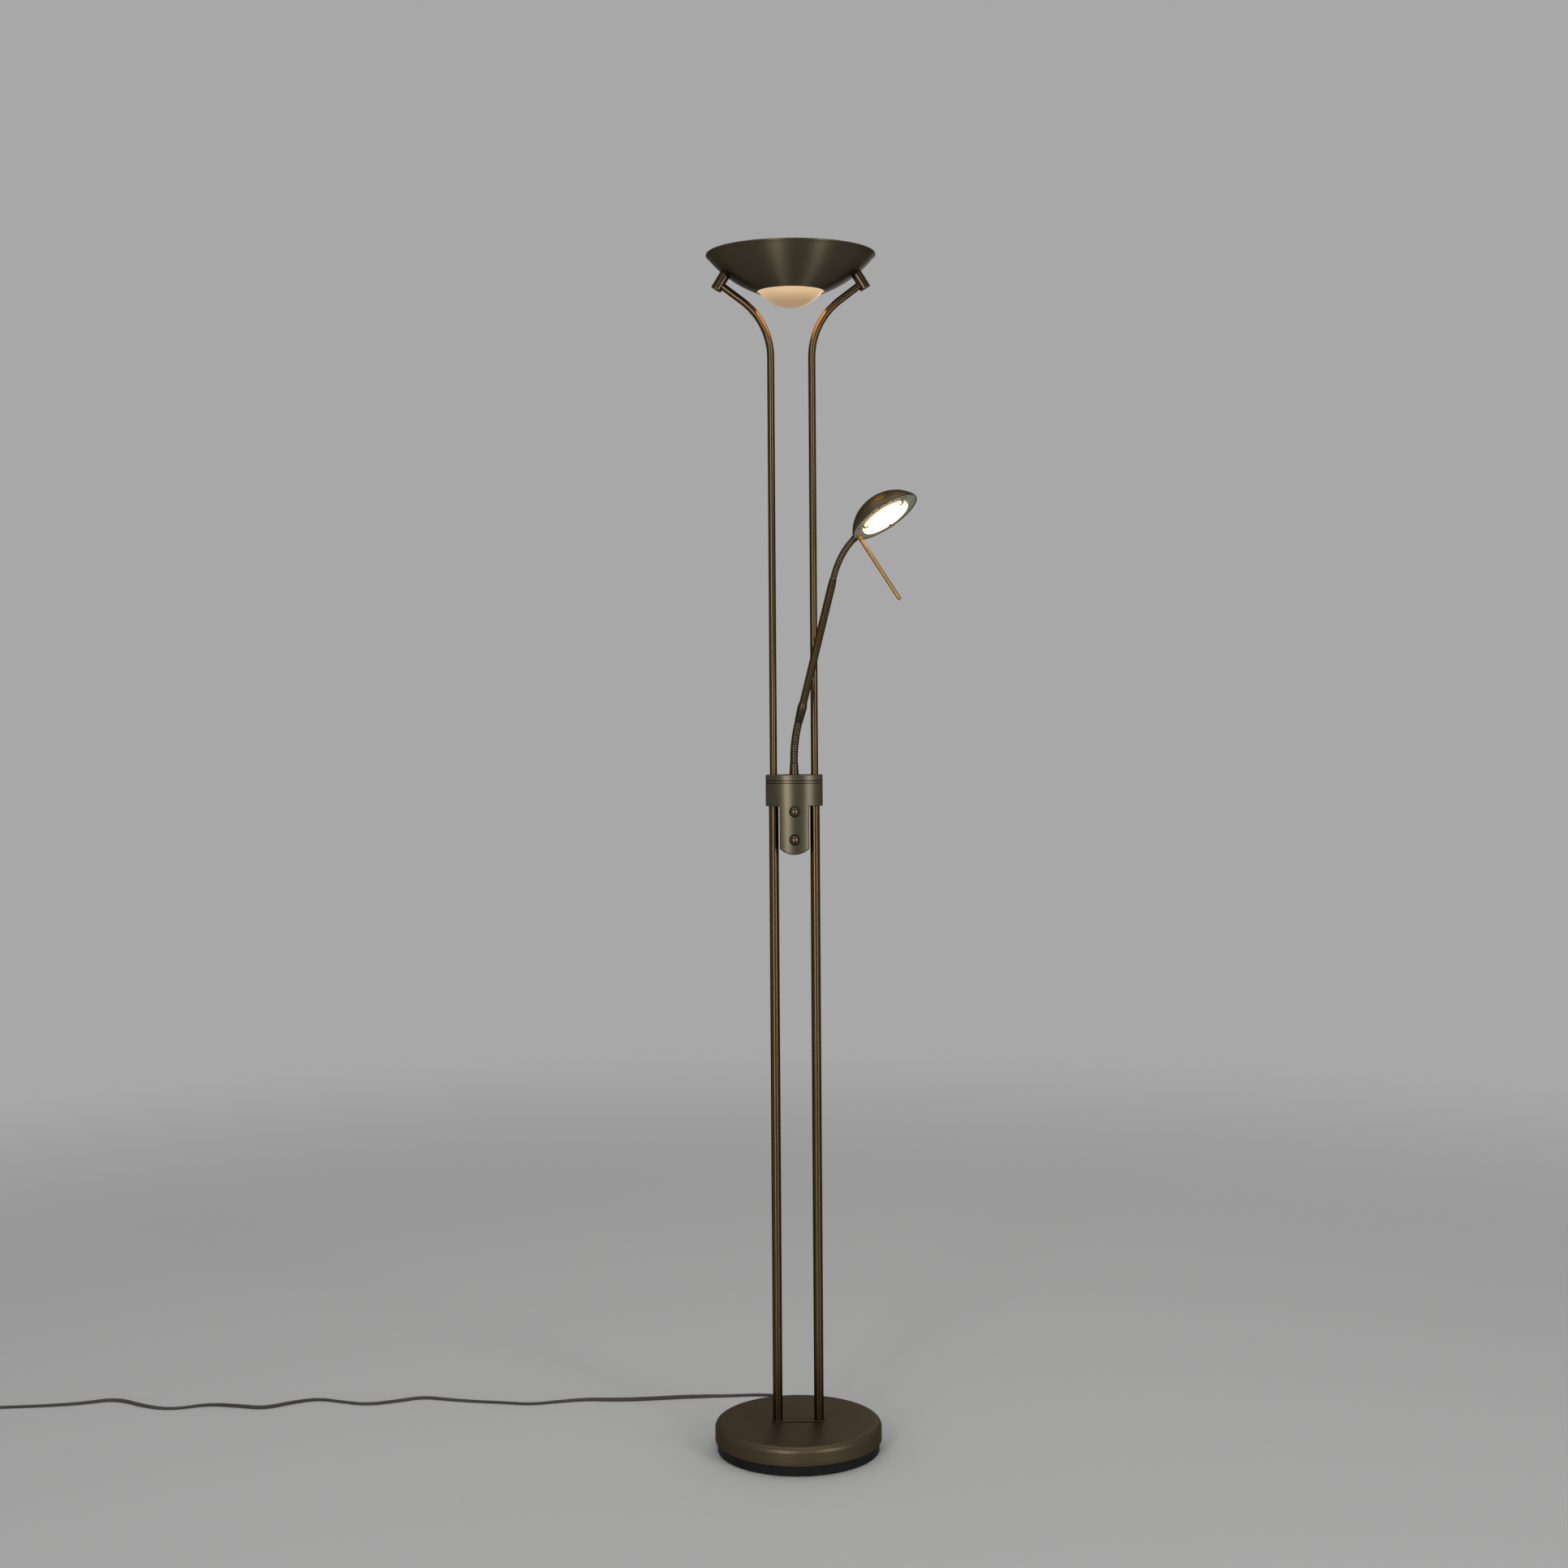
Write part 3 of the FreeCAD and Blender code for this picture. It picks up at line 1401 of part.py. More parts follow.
def clip_screws():
    """Small screws through the clips into the plate."""
    seat = plate_recess - clip_thickness
    solids = []
    for angle in clip_angles:
        head = Part.makeCylinder(clip_screw_head_radius, clip_screw_head,
                                 polar(clip_screw_circle(), angle, seat - clip_screw_head))
        shank = Part.makeCylinder(clip_screw_radius, clip_screw_length, polar(clip_screw_circle(), angle, seat))
        solids.append(in_head(joined(head, shank)))
    return solids


def head_reflector():
    """Dished reflector behind the plate, open where the bulb's socket comes in."""
    low = plate_recess + plate_thickness
    high = low + head_reflector_depth
    rim = plate_opening_radius + 4
    wall = reflector_wall
    outer = section((plate_opening_radius, low), (rim, low), (rim, low + wall),
                    (plate_opening_radius + wall, low + wall), (head_reflector_top_radius + wall, high),
                    (0, high), (0, high - wall), (head_reflector_top_radius, high - wall))
    body = turned(outer)
    room = block((socket_size[0] + 20, socket_size[1] + 2 * loose_gap, socket_size[2] + 2 * loose_gap),
                 (socket_start + socket_size[0] / 2 + 10, 0), socket_bottom() - loose_gap)
    return in_head(body.cut(room))


def socket_bottom():
    """Height of the bulb socket's lower side over the head's rim plane."""
    return plate_recess + plate_thickness + bulb_height - socket_size[2] / 2


def head_socket():
    """Ceramic socket of the reading bulb, on a foot that stands on the plate."""
    body = block(socket_size, (socket_start + socket_size[0] / 2, 0), socket_bottom())
    foot_start = plate_opening_radius + 4 + loose_gap
    low = plate_recess + plate_thickness
    foot = Part.makeBox(6, 8, plate_thickness, Vector(foot_start, -4, low))
    strut = Part.makeBox(1.2, 8, bulb_height, Vector(foot_start, -4, low))
    arm = Part.makeBox(foot_start + 1.2 - socket_start - socket_size[0] + 0.01, 8, 1.2,
                       Vector(socket_start + socket_size[0] - 0.01, -4, low + bulb_height - 1.2))
    return in_head(joined(body, foot, strut, arm))


def head_bulb():
    """Small halogen capsule that lies across the reflector, its pinch in the socket."""
    height = plate_recess + plate_thickness + bulb_height
    start = Vector(socket_start, 0, height)
    body = cylinder(bulb_radius, start, start - Vector(bulb_length, 0, 0))
    tip = Part.makeSphere(bulb_radius, start - Vector(bulb_length, 0, 0))
    return in_head(joined(body, tip))


def handle_rod():
    """Long rod that the head is turned by, with a stud through the plate."""
    root = handle_root()
    tip = root - UP * handle_length
    body = cylinder(handle_radius, tip, root - UP * handle_collar_length)
    edges = [edge for edge in body.Edges if edge.Closed and edge.BoundBox.ZMax < tip.z + 1e-3]
    body = body.makeFillet(handle_tip_round, edges)
    stud = cylinder(handle_stud_radius, root - UP * handle_collar_length, root + UP * handle_stud_length)
    return in_head(joined(body, stud))


def handle_collar():
    """Short collar round the stud, between the rod and the plate."""
    root = handle_root()
    return in_head(pipe(handle_collar_radius, handle_stud_radius + seat_gap,
                        root - UP * handle_collar_length, root))


# ---------------------------------------------------------------- mains cord

def cord_gland():
    """Tapered strain relief in the tray's rear wall."""
    inner = Vector(0, tray_radius - 2 * tray_wall, gland_height)
    outer = Vector(0, tray_radius + 1, gland_height)
    tip = Vector(*cord_route[0])
    taper_start = outer - Vector(0, 1, 0)
    body = joined(cylinder(gland_radius, inner, outer),
                  cone(gland_radius - gland_shoulder, gland_tip_radius, taper_start, tip))
    return body.cut(cylinder(cord_radius * 0.6, inner, outer))


def cord_path():
    """Straight runs joined by tangent arcs through the route's points, and the arcs' radii."""
    points = [Vector(*point) for point in cord_route]
    edges = []
    radii = []
    last = points[0]
    for before, corner, after in zip(points, points[1:], points[2:]):
        incoming = (corner - before).normalize()
        outgoing = (after - corner).normalize()
        half_turn = incoming.getAngle(outgoing) / 2
        setback = 0.45 * min((corner - before).Length, (after - corner).Length)
        radius = setback / math.tan(half_turn)
        start = corner - incoming * setback
        end = corner + outgoing * setback
        bisector = (outgoing - incoming).normalize()
        middle = corner + bisector * (radius / math.cos(half_turn) - radius)
        edges.append(Part.LineSegment(last, start).toShape())
        edges.append(Part.Arc(start, middle, end).toShape())
        radii.append(radius)
        last = end
    edges.append(Part.LineSegment(last, points[-1]).toShape())
    return Part.Wire(edges), radii


def power_cord():
    """Cord on the floor from the gland to the coil, its ends cut to both."""
    path, radii = cord_path()
    start = Vector(*cord_route[0])
    along = Vector(*cord_route[1]) - start
    profile = Part.Wire(Part.Circle(start, along, cord_radius).toShape())
    solid = path.makePipeShell([profile], True, False)
    print("cord bend radii:", ", ".join(f"{radius:.0f}" for radius in radii))
    print(f"cord length {path.Length:.1f}, volume over section times length "
          f"{solid.Volume / (math.pi * cord_radius ** 2 * path.Length):.5f}")
    centre = coil_centre()
    coil_room = cylinder(coil_mean_radius + coil_band / 2, centre, centre + UP * 2 * coil_height)
    return solid.cut([coil_room, cord_gland()])


def cord_end_direction():
    """Direction of the loose cord where it reaches the coil."""
    return (Vector(*cord_route[-1]) - Vector(*cord_route[-2])).normalize()


def coil_centre():
    """Middle of the coil on the floor, beside the end of the loose cord, which runs along its mean turn."""
    end = Vector(*cord_route[-1])
    along = cord_end_direction()
    side = Vector(along.y, -along.x, 0)
    place = end + side * coil_mean_radius
    return Vector(place.x, place.y, 0)


def plug_entry():
    """Point at which the cord enters the plug, beyond the coil, and the direction it runs in there."""
    along = cord_end_direction()
    side = Vector(along.y, -along.x, 0)
    return coil_centre() + along * coil_mean_radius + side * plug_tail + UP * plug_depth / 2, side


def cord_coil():
    """Outer shape of the coiled rest of the cord, with its tail to the plug."""
    centre = coil_centre()
    entry, side = plug_entry()
    return joined(pipe(coil_mean_radius + coil_band / 2, coil_mean_radius - coil_band / 2, centre,
                       centre + UP * coil_height),
                  cylinder(cord_radius, entry - side * plug_tail, entry))


def cord_tie():
    """Twist tie over the coil's band, on the side away from the loose cord."""
    along = cord_end_direction()
    band = (coil_band + 2 * loose_gap, coil_height + loose_gap)
    hollow = Part.makeBox(band[0], tie_width, band[1], Vector(-band[0] / 2, -tie_width / 2, 0))
    shell = Part.makeBox(band[0] + 2 * tie_thickness, tie_width, band[1] + tie_thickness,
                         Vector(-band[0] / 2 - tie_thickness, -tie_width / 2, 0))
    body = shell.cut(hollow)
    return placed(body, coil_centre() + along * coil_mean_radius, UP, along)


def plug_pieces():
    """Two-pin plug that lies on the floor at the end of the coil's tail, and its pins."""
    along = cord_end_direction()
    entry, side = plug_entry()
    body = outline(
        Vector(-plug_width / 2, 0, 0), Vector(plug_width / 2, 0, 0), Vector(plug_width / 2, plug_length * 0.6, 0),
        Vector(plug_width / 5, plug_length, 0), Vector(-plug_width / 5, plug_length, 0),
        Vector(-plug_width / 2, plug_length * 0.6, 0),
    ).extrude(UP * plug_depth)
    pins = []
    for place in (-plug_pin_spacing / 2, plug_pin_spacing / 2):
        pins.append(cylinder(plug_pin_radius, Vector(place, -plug_pin_length, plug_depth / 2),
                             Vector(place, 0, plug_depth / 2)))
    back = entry + side * plug_length - UP * plug_depth / 2
    return placed(body, back, UP, along), [placed(pin, back, UP, along) for pin in pins]


# ---------------------------------------------------------------- all sub-parts

def main():
    """Build every sub-part and write it to its own file."""
    os.makedirs("parts", exist_ok=True)
    export("base_tray", base_tray())
    export("base_pads", *base_pads())
    export("base_screws", *base_screws())
    export("base_weight", base_weight())
    export("base_cover", base_cover())
    export("base_terminal_block", terminal_block())
    export("base_flange", base_flange())
    feet = [post_foot_pieces(side) for side in (-1, 1)]
    export("post_nipples", *[pieces[0] for pieces in feet])
    export("post_foot_nuts", *[pieces[1] for pieces in feet])
    export("post_foot_bushes", *[pieces[2] for pieces in feet])
    export("lower_posts", lower_post(-1), lower_post(1))
    export("post_joiners", post_joiner(-1), post_joiner(1))
    export("upper_posts", upper_post(), mirrored(upper_post()))
    export("supply_leads", lower_lead(), upper_lead())
    export("bowl_bosses", bowl_boss(), mirrored(bowl_boss()))
    export("boss_screws", boss_screw(), mirrored(boss_screw()))

    export("uplight_bowl", uplight_bowl())
    export("bowl_reflector", bowl_reflector())
    export("glass_dome", glass_dome())
    export("lamp_bridge", lamp_bridge())
    export("lamp_holders", *lamp_holders())
    export("halogen_tube", halogen_tube())
    export("uplight_clips", *dome_clips(), *guard_clips())
    export("guard_glass", guard_glass())

    export("housing_front", housing_front())
    export("housing_back", housing_back())
    export("housing_screws", *housing_screws())
    export("dimmers", *[dimmer(height) for height in knob_heights])
    export("dimmer_nuts", *[dimmer_nut(height) for height in knob_heights])
    for name, height in zip(("uplight", "reading"), knob_heights):
        export(f"knob_{name}", knob(height), knob_shaft(height))

    export("neck_collar", joined(neck_collar(), lower_neck.piece(0)))
    export("neck_collar_nut", collar_nut())
    for index in range(1, len(lower_neck.directions) - 1):
        export(f"lower_neck_link_{index}", lower_neck.piece(index))
    export("arm_sleeve", joined(lower_neck.piece(len(lower_neck.directions) - 1), arm_sleeve()))
    export("arm_tube", arm_tube())
    export("arm_ferrule", joined(arm_ferrule(), upper_neck.piece(0)))
    for index in range(1, len(upper_neck.directions) - 1):
        export(f"upper_neck_link_{index}", upper_neck.piece(index))
    export("head_ferrule", joined(upper_neck.piece(len(upper_neck.directions) - 1), head_ferrule()))

    export("head_nut", head_nut())
    export("head_shade", head_shade())
    export("head_plate", head_plate())
    export("head_reflector", head_reflector())
    export("head_socket", head_socket())
    export("head_bulb", head_bulb())
    export("head_glass", head_glass())
    export("glass_clips", *glass_clips())
    export("clip_screws", *clip_screws())
    export("handle", handle_rod(), handle_collar())

    export("cord_gland", cord_gland())
    export("power_cord", power_cord())
    export("cord_coil", cord_coil())
    export("cord_tie", cord_tie())
    plug_body, plug_pins = plug_pieces()
    export("plug", plug_body, *plug_pins)
    print("lower hinges", [tuple(round(value, 2) for value in point) for point in lower_neck.points[1:-1]])
    print("upper hinges", [tuple(round(value, 2) for value in point) for point in upper_neck.points[1:-1]])


main()
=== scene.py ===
import logging
import math
from abc import ABC, abstractmethod
from dataclasses import dataclass, field, replace
from enum import Enum
from typing import Callable, Sequence

import bmesh
import bpy
from mathutils import Matrix, Vector
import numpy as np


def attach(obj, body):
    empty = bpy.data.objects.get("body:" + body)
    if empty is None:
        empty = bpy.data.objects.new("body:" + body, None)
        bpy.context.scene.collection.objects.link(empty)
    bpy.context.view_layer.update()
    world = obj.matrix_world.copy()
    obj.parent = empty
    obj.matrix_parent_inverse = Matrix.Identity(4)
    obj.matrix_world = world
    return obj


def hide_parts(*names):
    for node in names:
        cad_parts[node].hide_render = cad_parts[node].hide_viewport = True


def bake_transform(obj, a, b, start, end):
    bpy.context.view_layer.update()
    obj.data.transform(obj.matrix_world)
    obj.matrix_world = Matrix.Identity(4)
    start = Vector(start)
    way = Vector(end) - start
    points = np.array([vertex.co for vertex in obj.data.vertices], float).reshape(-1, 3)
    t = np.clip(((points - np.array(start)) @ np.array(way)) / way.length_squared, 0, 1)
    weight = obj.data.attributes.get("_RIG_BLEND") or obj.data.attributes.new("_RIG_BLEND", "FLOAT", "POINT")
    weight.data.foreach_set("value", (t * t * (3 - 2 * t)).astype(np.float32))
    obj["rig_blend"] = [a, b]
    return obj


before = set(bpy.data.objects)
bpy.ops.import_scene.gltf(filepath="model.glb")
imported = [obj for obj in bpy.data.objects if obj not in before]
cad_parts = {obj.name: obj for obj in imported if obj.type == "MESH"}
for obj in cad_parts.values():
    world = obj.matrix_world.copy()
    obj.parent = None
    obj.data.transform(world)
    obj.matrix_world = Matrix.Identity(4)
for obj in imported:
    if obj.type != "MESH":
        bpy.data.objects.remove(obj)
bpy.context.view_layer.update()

# Torchiere floor lamp with a reading light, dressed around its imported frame.
# Sizes are in millimetres and meshes in metres. +Z is up, -Y the front, +X the reading light's side.

MM = 0.001
UP = Vector((0.0, 0.0, 1.0))
STAND = "stand"
GLASS_IOR = 1.45

# Leans to the side and to the front, in degrees, along the reading arm, and the heights of the knobs.
UPRIGHT = (0.0, 0.0)
ARM_LEAN = (13.75, 23.5)
HEAD_LEAN = (43.1, 23.8)
KNOB_HEIGHTS = (("uplight", 961.0), ("reading", 918.6))

# A length or radius in millimetres below this counts as none.
TINY = 1e-6

# Copies of CAD nodes: distance in metres below which corners are one, the angle below which faces are one flat
# face, and the angles above which an edge looks sharp and is eased.
MERGE_DISTANCE = 2e-6
FLAT_ANGLE = math.radians(0.6)
REFINED_CREASE = 30.0
EASED_ANGLE = math.radians(32)

log = logging.getLogger("lamp")

Triple = tuple[float, float, float]
Profile = Sequence[tuple[float, float]]


# ---------------------------------------------------------------- places and outlines

def place(origin: Vector, axis: Vector, towards: Vector | None = None) -> Matrix:
    """Matrix from a piece's own axes in millimetres to the lamp's frame in metres.

    Args:
        origin: Where the piece's own origin goes, in millimetres.
        axis: Direction of the piece's own Z axis.
        towards: Direction that the piece's own X axis lies nearest to.

    Returns:
        The matrix that turns, moves and scales the piece.
    """
    z_axis = axis.normalized()
    x_axis = Vector(towards) if towards is not None else z_axis.orthogonal()
    x_axis = (x_axis - z_axis * x_axis.dot(z_axis)).normalized()
    turn = Matrix((x_axis, z_axis.cross(x_axis), z_axis)).transposed().to_4x4()
    return Matrix.Scale(MM, 4) @ Matrix.Translation(origin) @ turn


def arc(centre: tuple[float, float], radius: float, start: float, end: float, steps: int) -> list[tuple[float, float]]:
    """Points of a circular arc in a profile, from one angle in degrees to another."""
    angles = [math.radians(start + (end - start) * step / steps) for step in range(steps + 1)]
    return [(centre[0] + radius * math.cos(angle), centre[1] + radius * math.sin(angle)) for angle in angles]


def lean(side: float, front: float) -> Vector:
    """Unit direction that leans to +X and to -Y by two angles, in degrees."""
    return Vector((math.tan(math.radians(side)), -math.tan(math.radians(front)), 1.0)).normalized()


# ---------------------------------------------------------------- node trees

class Nodes:
    """Adds nodes to a node tree, linking sockets or setting plain values as it goes."""

    def __init__(self, tree: bpy.types.NodeTree) -> None:
        """Start on a tree that is empty."""
        self.tree = tree

    def add(self, kind: str, inputs: dict | None = None, **settings: object) -> bpy.types.Node:
        """Add one node.

        Args:
            kind: The node's type.
            inputs: Plain values or output sockets, by input name or number.
            **settings: The node's own properties.

        Returns:
            The new node.
        """
        node = self.tree.nodes.new(kind)
        for key, value in settings.items():
            setattr(node, key, value)
        for key, value in (inputs or {}).items():
            if isinstance(value, bpy.types.NodeSocket):
                self.tree.links.new(value, node.inputs[key])
            else:
                node.inputs[key].default_value = value
        return node

    def math(self, operation: str, first: object, second: object = 0.0) -> bpy.types.NodeSocket:
        """Result of a Math node with one or two values."""
        return self.add("ShaderNodeMath", {0: first, 1: second}, operation=operation).outputs[0]


# ---------------------------------------------------------------- finishes

class Grain(Enum):
    """How the fine marks of a finish run."""

    SPECKLE = "the same in every direction"
    ALONG = "drawn lines along an axis"
    RINGS = "turned lines round an axis"


@dataclass(frozen=True)
class Axis:
    """Line that turned or drawn marks follow: a point in millimetres and a direction."""

    point: Triple = (0.0, 0.0, 0.0)
    direction: Triple = (0.0, 0.0, 1.0)


@dataclass(frozen=True)
class Finish:
    """Opaque finish with fine marks, soft colour patches and a little relief.

    Lengths are in millimetres. The edge tint darkens a metal's reflection at grazing angles, and the stretch
    draws its reflections out along the finish's axis.
    """

    name: str
    dark: Triple
    light: Triple
    metallic: float = 0.0
    roughness: tuple[float, float] = (0.42, 0.56)
    grain: Grain = Grain.SPECKLE
    axis: Axis = Axis()
    marks: float = 0.5
    patches: float = 30.0
    patch_share: float = 0.6
    relief: float = 0.02
    edge_tint: float = 1.0
    specular: float = 0.5
    stretch: float = 0.0

    FINE_DETAIL = 2.0
    PATCH_DETAIL = 3.0
    COLOUR_SPAN = (0.33, 0.67)
    ROUGH_SPAN = (0.3, 0.7)
    DRAWN_OUT = 0.02
    BUMP_STRENGTH = 0.5

    def material(self) -> bpy.types.Material:
        """The finish's material, made on first use."""
        made = bpy.data.materials.get(self.name)
        if made is not None:
            return made
        material = bpy.data.materials.new(self.name)
        material.use_nodes = True
        material.node_tree.nodes.clear()
        nodes = Nodes(material.node_tree)
        shader = self.surface(nodes)
        nodes.add("ShaderNodeOutputMaterial", {"Surface": shader.outputs[0]})
        material.diffuse_color = (*self.light, 1.0)
        return material

    def marks_vector(self, nodes: Nodes) -> bpy.types.NodeSocket:
        """Coordinates in which the fine marks are noise that is alike in every direction."""
        own = nodes.add("ShaderNodeTexCoord").outputs["Object"]
        if self.grain is Grain.SPECKLE:
            return own
        turn = place(Vector(self.axis.point), Vector(self.axis.direction)).to_3x3().normalized().transposed()
        shift = turn @ (Vector(self.axis.point) * -MM)
        about = nodes.add("ShaderNodeMapping", {"Vector": own, "Location": shift, "Rotation": turn.to_euler()})
        if self.grain is Grain.ALONG:
            return nodes.add("ShaderNodeVectorMath", {0: about.outputs[0], 1: (1.0, 1.0, self.DRAWN_OUT)},
                             operation="MULTIPLY").outputs[0]
        parts = nodes.add("ShaderNodeSeparateXYZ", {0: about.outputs[0]}).outputs
        flat = nodes.add("ShaderNodeCombineXYZ", {0: parts[0], 1: parts[1]}).outputs[0]
        radius = nodes.add("ShaderNodeVectorMath", {0: flat}, operation="LENGTH").outputs["Value"]
        slow = nodes.math("MULTIPLY", parts[0], self.DRAWN_OUT)
        height = nodes.math("ADD", parts[2], nodes.math("MULTIPLY", parts[1], self.DRAWN_OUT))
        return nodes.add("ShaderNodeCombineXYZ", {0: radius, 1: slow, 2: height}).outputs[0]

    def surface(self, nodes: Nodes) -> bpy.types.Node:
        """The finish's shader with its colour, roughness and relief."""
        fine = nodes.add("ShaderNodeTexNoise", {"Vector": self.marks_vector(nodes), "Scale": 1 / (self.marks * MM),
                                                "Detail": self.FINE_DETAIL}).outputs["Fac"]
        own = nodes.add("ShaderNodeTexCoord").outputs["Object"]
        patch = nodes.add("ShaderNodeTexNoise", {"Vector": own, "Scale": 1 / (self.patches * MM),
                                                 "Detail": self.PATCH_DETAIL}).outputs["Fac"]
        mixed = nodes.math("ADD", nodes.math("MULTIPLY", patch, self.patch_share),
                           nodes.math("MULTIPLY", fine, 1 - self.patch_share))
        share = nodes.add("ShaderNodeMapRange", {0: mixed, 1: self.COLOUR_SPAN[0], 2: self.COLOUR_SPAN[1], 3: 0.0,
                                                 4: 1.0}).outputs[0]
        colour = nodes.add("ShaderNodeMix", {0: share, 6: (*self.dark, 1.0), 7: (*self.light, 1.0)},
                           data_type="RGBA").outputs[2]
        rough = nodes.add("ShaderNodeMapRange", {0: fine, 1: self.ROUGH_SPAN[0], 2: self.ROUGH_SPAN[1],
                                                 3: self.roughness[0], 4: self.roughness[1]}).outputs[0]
        bump = nodes.add("ShaderNodeBump", {"Strength": self.BUMP_STRENGTH, "Distance": self.relief * MM,
                                              "Height": fine})
        tint = (*[self.edge_tint] * 3, 1.0)
        shader = nodes.add("ShaderNodeBsdfPrincipled", {
            "Base Color": colour, "Metallic": self.metallic, "Roughness": rough, "Normal": bump.outputs[0],
            "Specular Tint": tint, "Specular IOR Level": self.specular, "Anisotropic": self.stretch,
        })
        if self.stretch > 0:
            drawn = nodes.add("ShaderNodeCombineXYZ", dict(enumerate(self.axis.direction))).outputs[0]
            nodes.tree.links.new(drawn, shader.inputs["Tangent"])
        return shader


@dataclass(frozen=True)
class GrooveShaded(Finish):
    """Finish with painted shade: its colour is darkened in level grooves, at heights in millimetres."""

    grooves: tuple[float, ...] = ()
    groove_width: float = 1.5
    groove_shade: float = 0.16

    DARKEST_SHARE = 0.6

    def surface(self, nodes: Nodes) -> bpy.types.Node:
        """The plain finish with painted shade darkening its colour in the grooves."""
        shader = super().surface(nodes)
        own = nodes.add("ShaderNodeTexCoord").outputs["Object"]
        height = nodes.add("ShaderNodeSeparateXYZ", {0: own}).outputs[2]
        colour = shader.inputs["Base Color"].links[0].from_socket
        # Each groove multiplies the colour by a painted shade that is darkest along its middle.
        for groove in self.grooves:
            away = nodes.math("ABSOLUTE", nodes.math("SUBTRACT", height, groove * MM))
            half = self.groove_width / 2 * MM
            share = nodes.add("ShaderNodeMapRange", {0: away, 1: half * self.DARKEST_SHARE, 2: half,
                                                     3: self.groove_shade, 4: 1.0}).outputs[0]
            colour = nodes.add("ShaderNodeMix", {0: 1.0, 6: colour, 7: share}, data_type="RGBA",
                               blend_type="MULTIPLY").outputs[2]
        nodes.tree.links.new(colour, shader.inputs["Base Color"])
        return shader


@dataclass(frozen=True)
class Glow(Finish):
    """Lit glass: its glow runs from a near colour to a far one along or round an axis."""

    near: Triple = (1.0, 0.8, 0.6)
    far: Triple = (1.0, 0.6, 0.3)
    span: tuple[float, float] = (0.0, 1.0)
    strength: float = 1.0
    radial: bool = False

    def surface(self, nodes: Nodes) -> bpy.types.Node:
        """The opaque finish with its glow added."""
        shader = super().surface(nodes)
        parts = nodes.add("ShaderNodeSeparateXYZ", {0: self.marks_vector(nodes)}).outputs
        distance = parts[0] if self.radial else parts[2]
        share = nodes.add("ShaderNodeMapRange", {0: distance, 1: self.span[0] * MM, 2: self.span[1] * MM, 3: 0.0,
                                                 4: 1.0}, interpolation_type="SMOOTHSTEP").outputs[0]
        glow = nodes.add("ShaderNodeMix", {0: share, 6: (*self.near, 1.0), 7: (*self.far, 1.0)},
                         data_type="RGBA").outputs[2]
        nodes.tree.links.new(glow, shader.inputs["Emission Color"])
        shader.inputs["Emission Strength"].default_value = self.strength
        return shader


@dataclass(frozen=True)
class ClearGlass(Finish):
    """Clear glass with a faint tint."""

    def surface(self, nodes: Nodes) -> bpy.types.Node:
        """The opaque finish's relief on a shader that lets light through."""
        shader = super().surface(nodes)
        shader.inputs["Transmission Weight"].default_value = 1.0
        shader.inputs["IOR"].default_value = GLASS_IOR
        return shader


BRONZE = Finish("bronze", (0.066, 0.048, 0.028), (0.084, 0.063, 0.038), metallic=1.0, roughness=(0.24, 0.28),
                marks=0.35, patches=70.0, relief=0.001, edge_tint=0.4)
TUBE_BRONZE = replace(BRONZE, name="bronze_tube", dark=(0.092, 0.061, 0.029), light=(0.106, 0.071, 0.035),
                      grain=Grain.ALONG, roughness=(0.27, 0.3), marks=0.5, relief=0.0004, edge_tint=0.08,
                      stretch=0.9)
RUBBER = Finish("cord_rubber", (0.003, 0.003, 0.003), (0.008, 0.008, 0.008), roughness=(0.5, 0.64), marks=0.8,
                patches=60.0, relief=0.02, specular=0.22)
BAND = Finish("base_band", (0.003, 0.003, 0.003), (0.011, 0.011, 0.012), roughness=(0.55, 0.75), grain=Grain.ALONG,
              marks=0.9, patches=25.0, relief=0.08, specular=0.15)
STEEL = Finish("zinc_steel", (0.42, 0.43, 0.44), (0.56, 0.57, 0.58), metallic=1.0, roughness=(0.28, 0.42),
               marks=0.4, relief=0.01)
CLIP_STEEL = replace(STEEL, name="clip_steel", dark=(0.20, 0.17, 0.11), light=(0.27, 0.23, 0.15))
ALUMINIUM = Finish("bright_aluminium", (0.66, 0.66, 0.65), (0.80, 0.80, 0.79), metallic=1.0,
                   roughness=(0.2, 0.32), grain=Grain.RINGS, marks=0.5, patches=60.0, relief=0.01)
CAST_IRON = Finish("cast_iron", (0.035, 0.035, 0.037), (0.075, 0.074, 0.073), metallic=0.6, roughness=(0.6, 0.8),
                   marks=1.6, patches=18.0, relief=0.25)
CERAMIC = Finish("ceramic", (0.70, 0.68, 0.62), (0.80, 0.78, 0.73), roughness=(0.35, 0.5), marks=0.7,
                 patches=14.0, relief=0.03)
FELT = Finish("felt", (0.02, 0.02, 0.021), (0.05, 0.05, 0.05), roughness=(0.9, 1.0), marks=0.5, patches=6.0,
              relief=0.3, specular=0.1)
DIMMER_PLASTIC = Finish("dimmer_plastic", (0.012, 0.012, 0.013), (0.03, 0.03, 0.03), roughness=(0.4, 0.55),
                        marks=0.5, patches=12.0, relief=0.03)
CLEAR = ClearGlass("clear_glass", (0.93, 0.95, 0.94), (0.97, 0.98, 0.97), roughness=(0.02, 0.05), marks=6.0,
                   patches=60.0, relief=0.004)
PLATE_PAINT = Finish("plate_paint", (0.235, 0.250, 0.190), (0.280, 0.290, 0.225), metallic=0.35,
                     roughness=(0.42, 0.5), marks=0.5, patches=22.0, relief=0.004)
PLUG_PLASTIC = replace(RUBBER, name="plug_plastic", relief=0.05)
UPPER_TUBE_BRONZE = replace(TUBE_BRONZE, name="bronze_upper_tube")
ARM_TUBE_BRONZE = replace(TUBE_BRONZE, name="bronze_arm_tube")
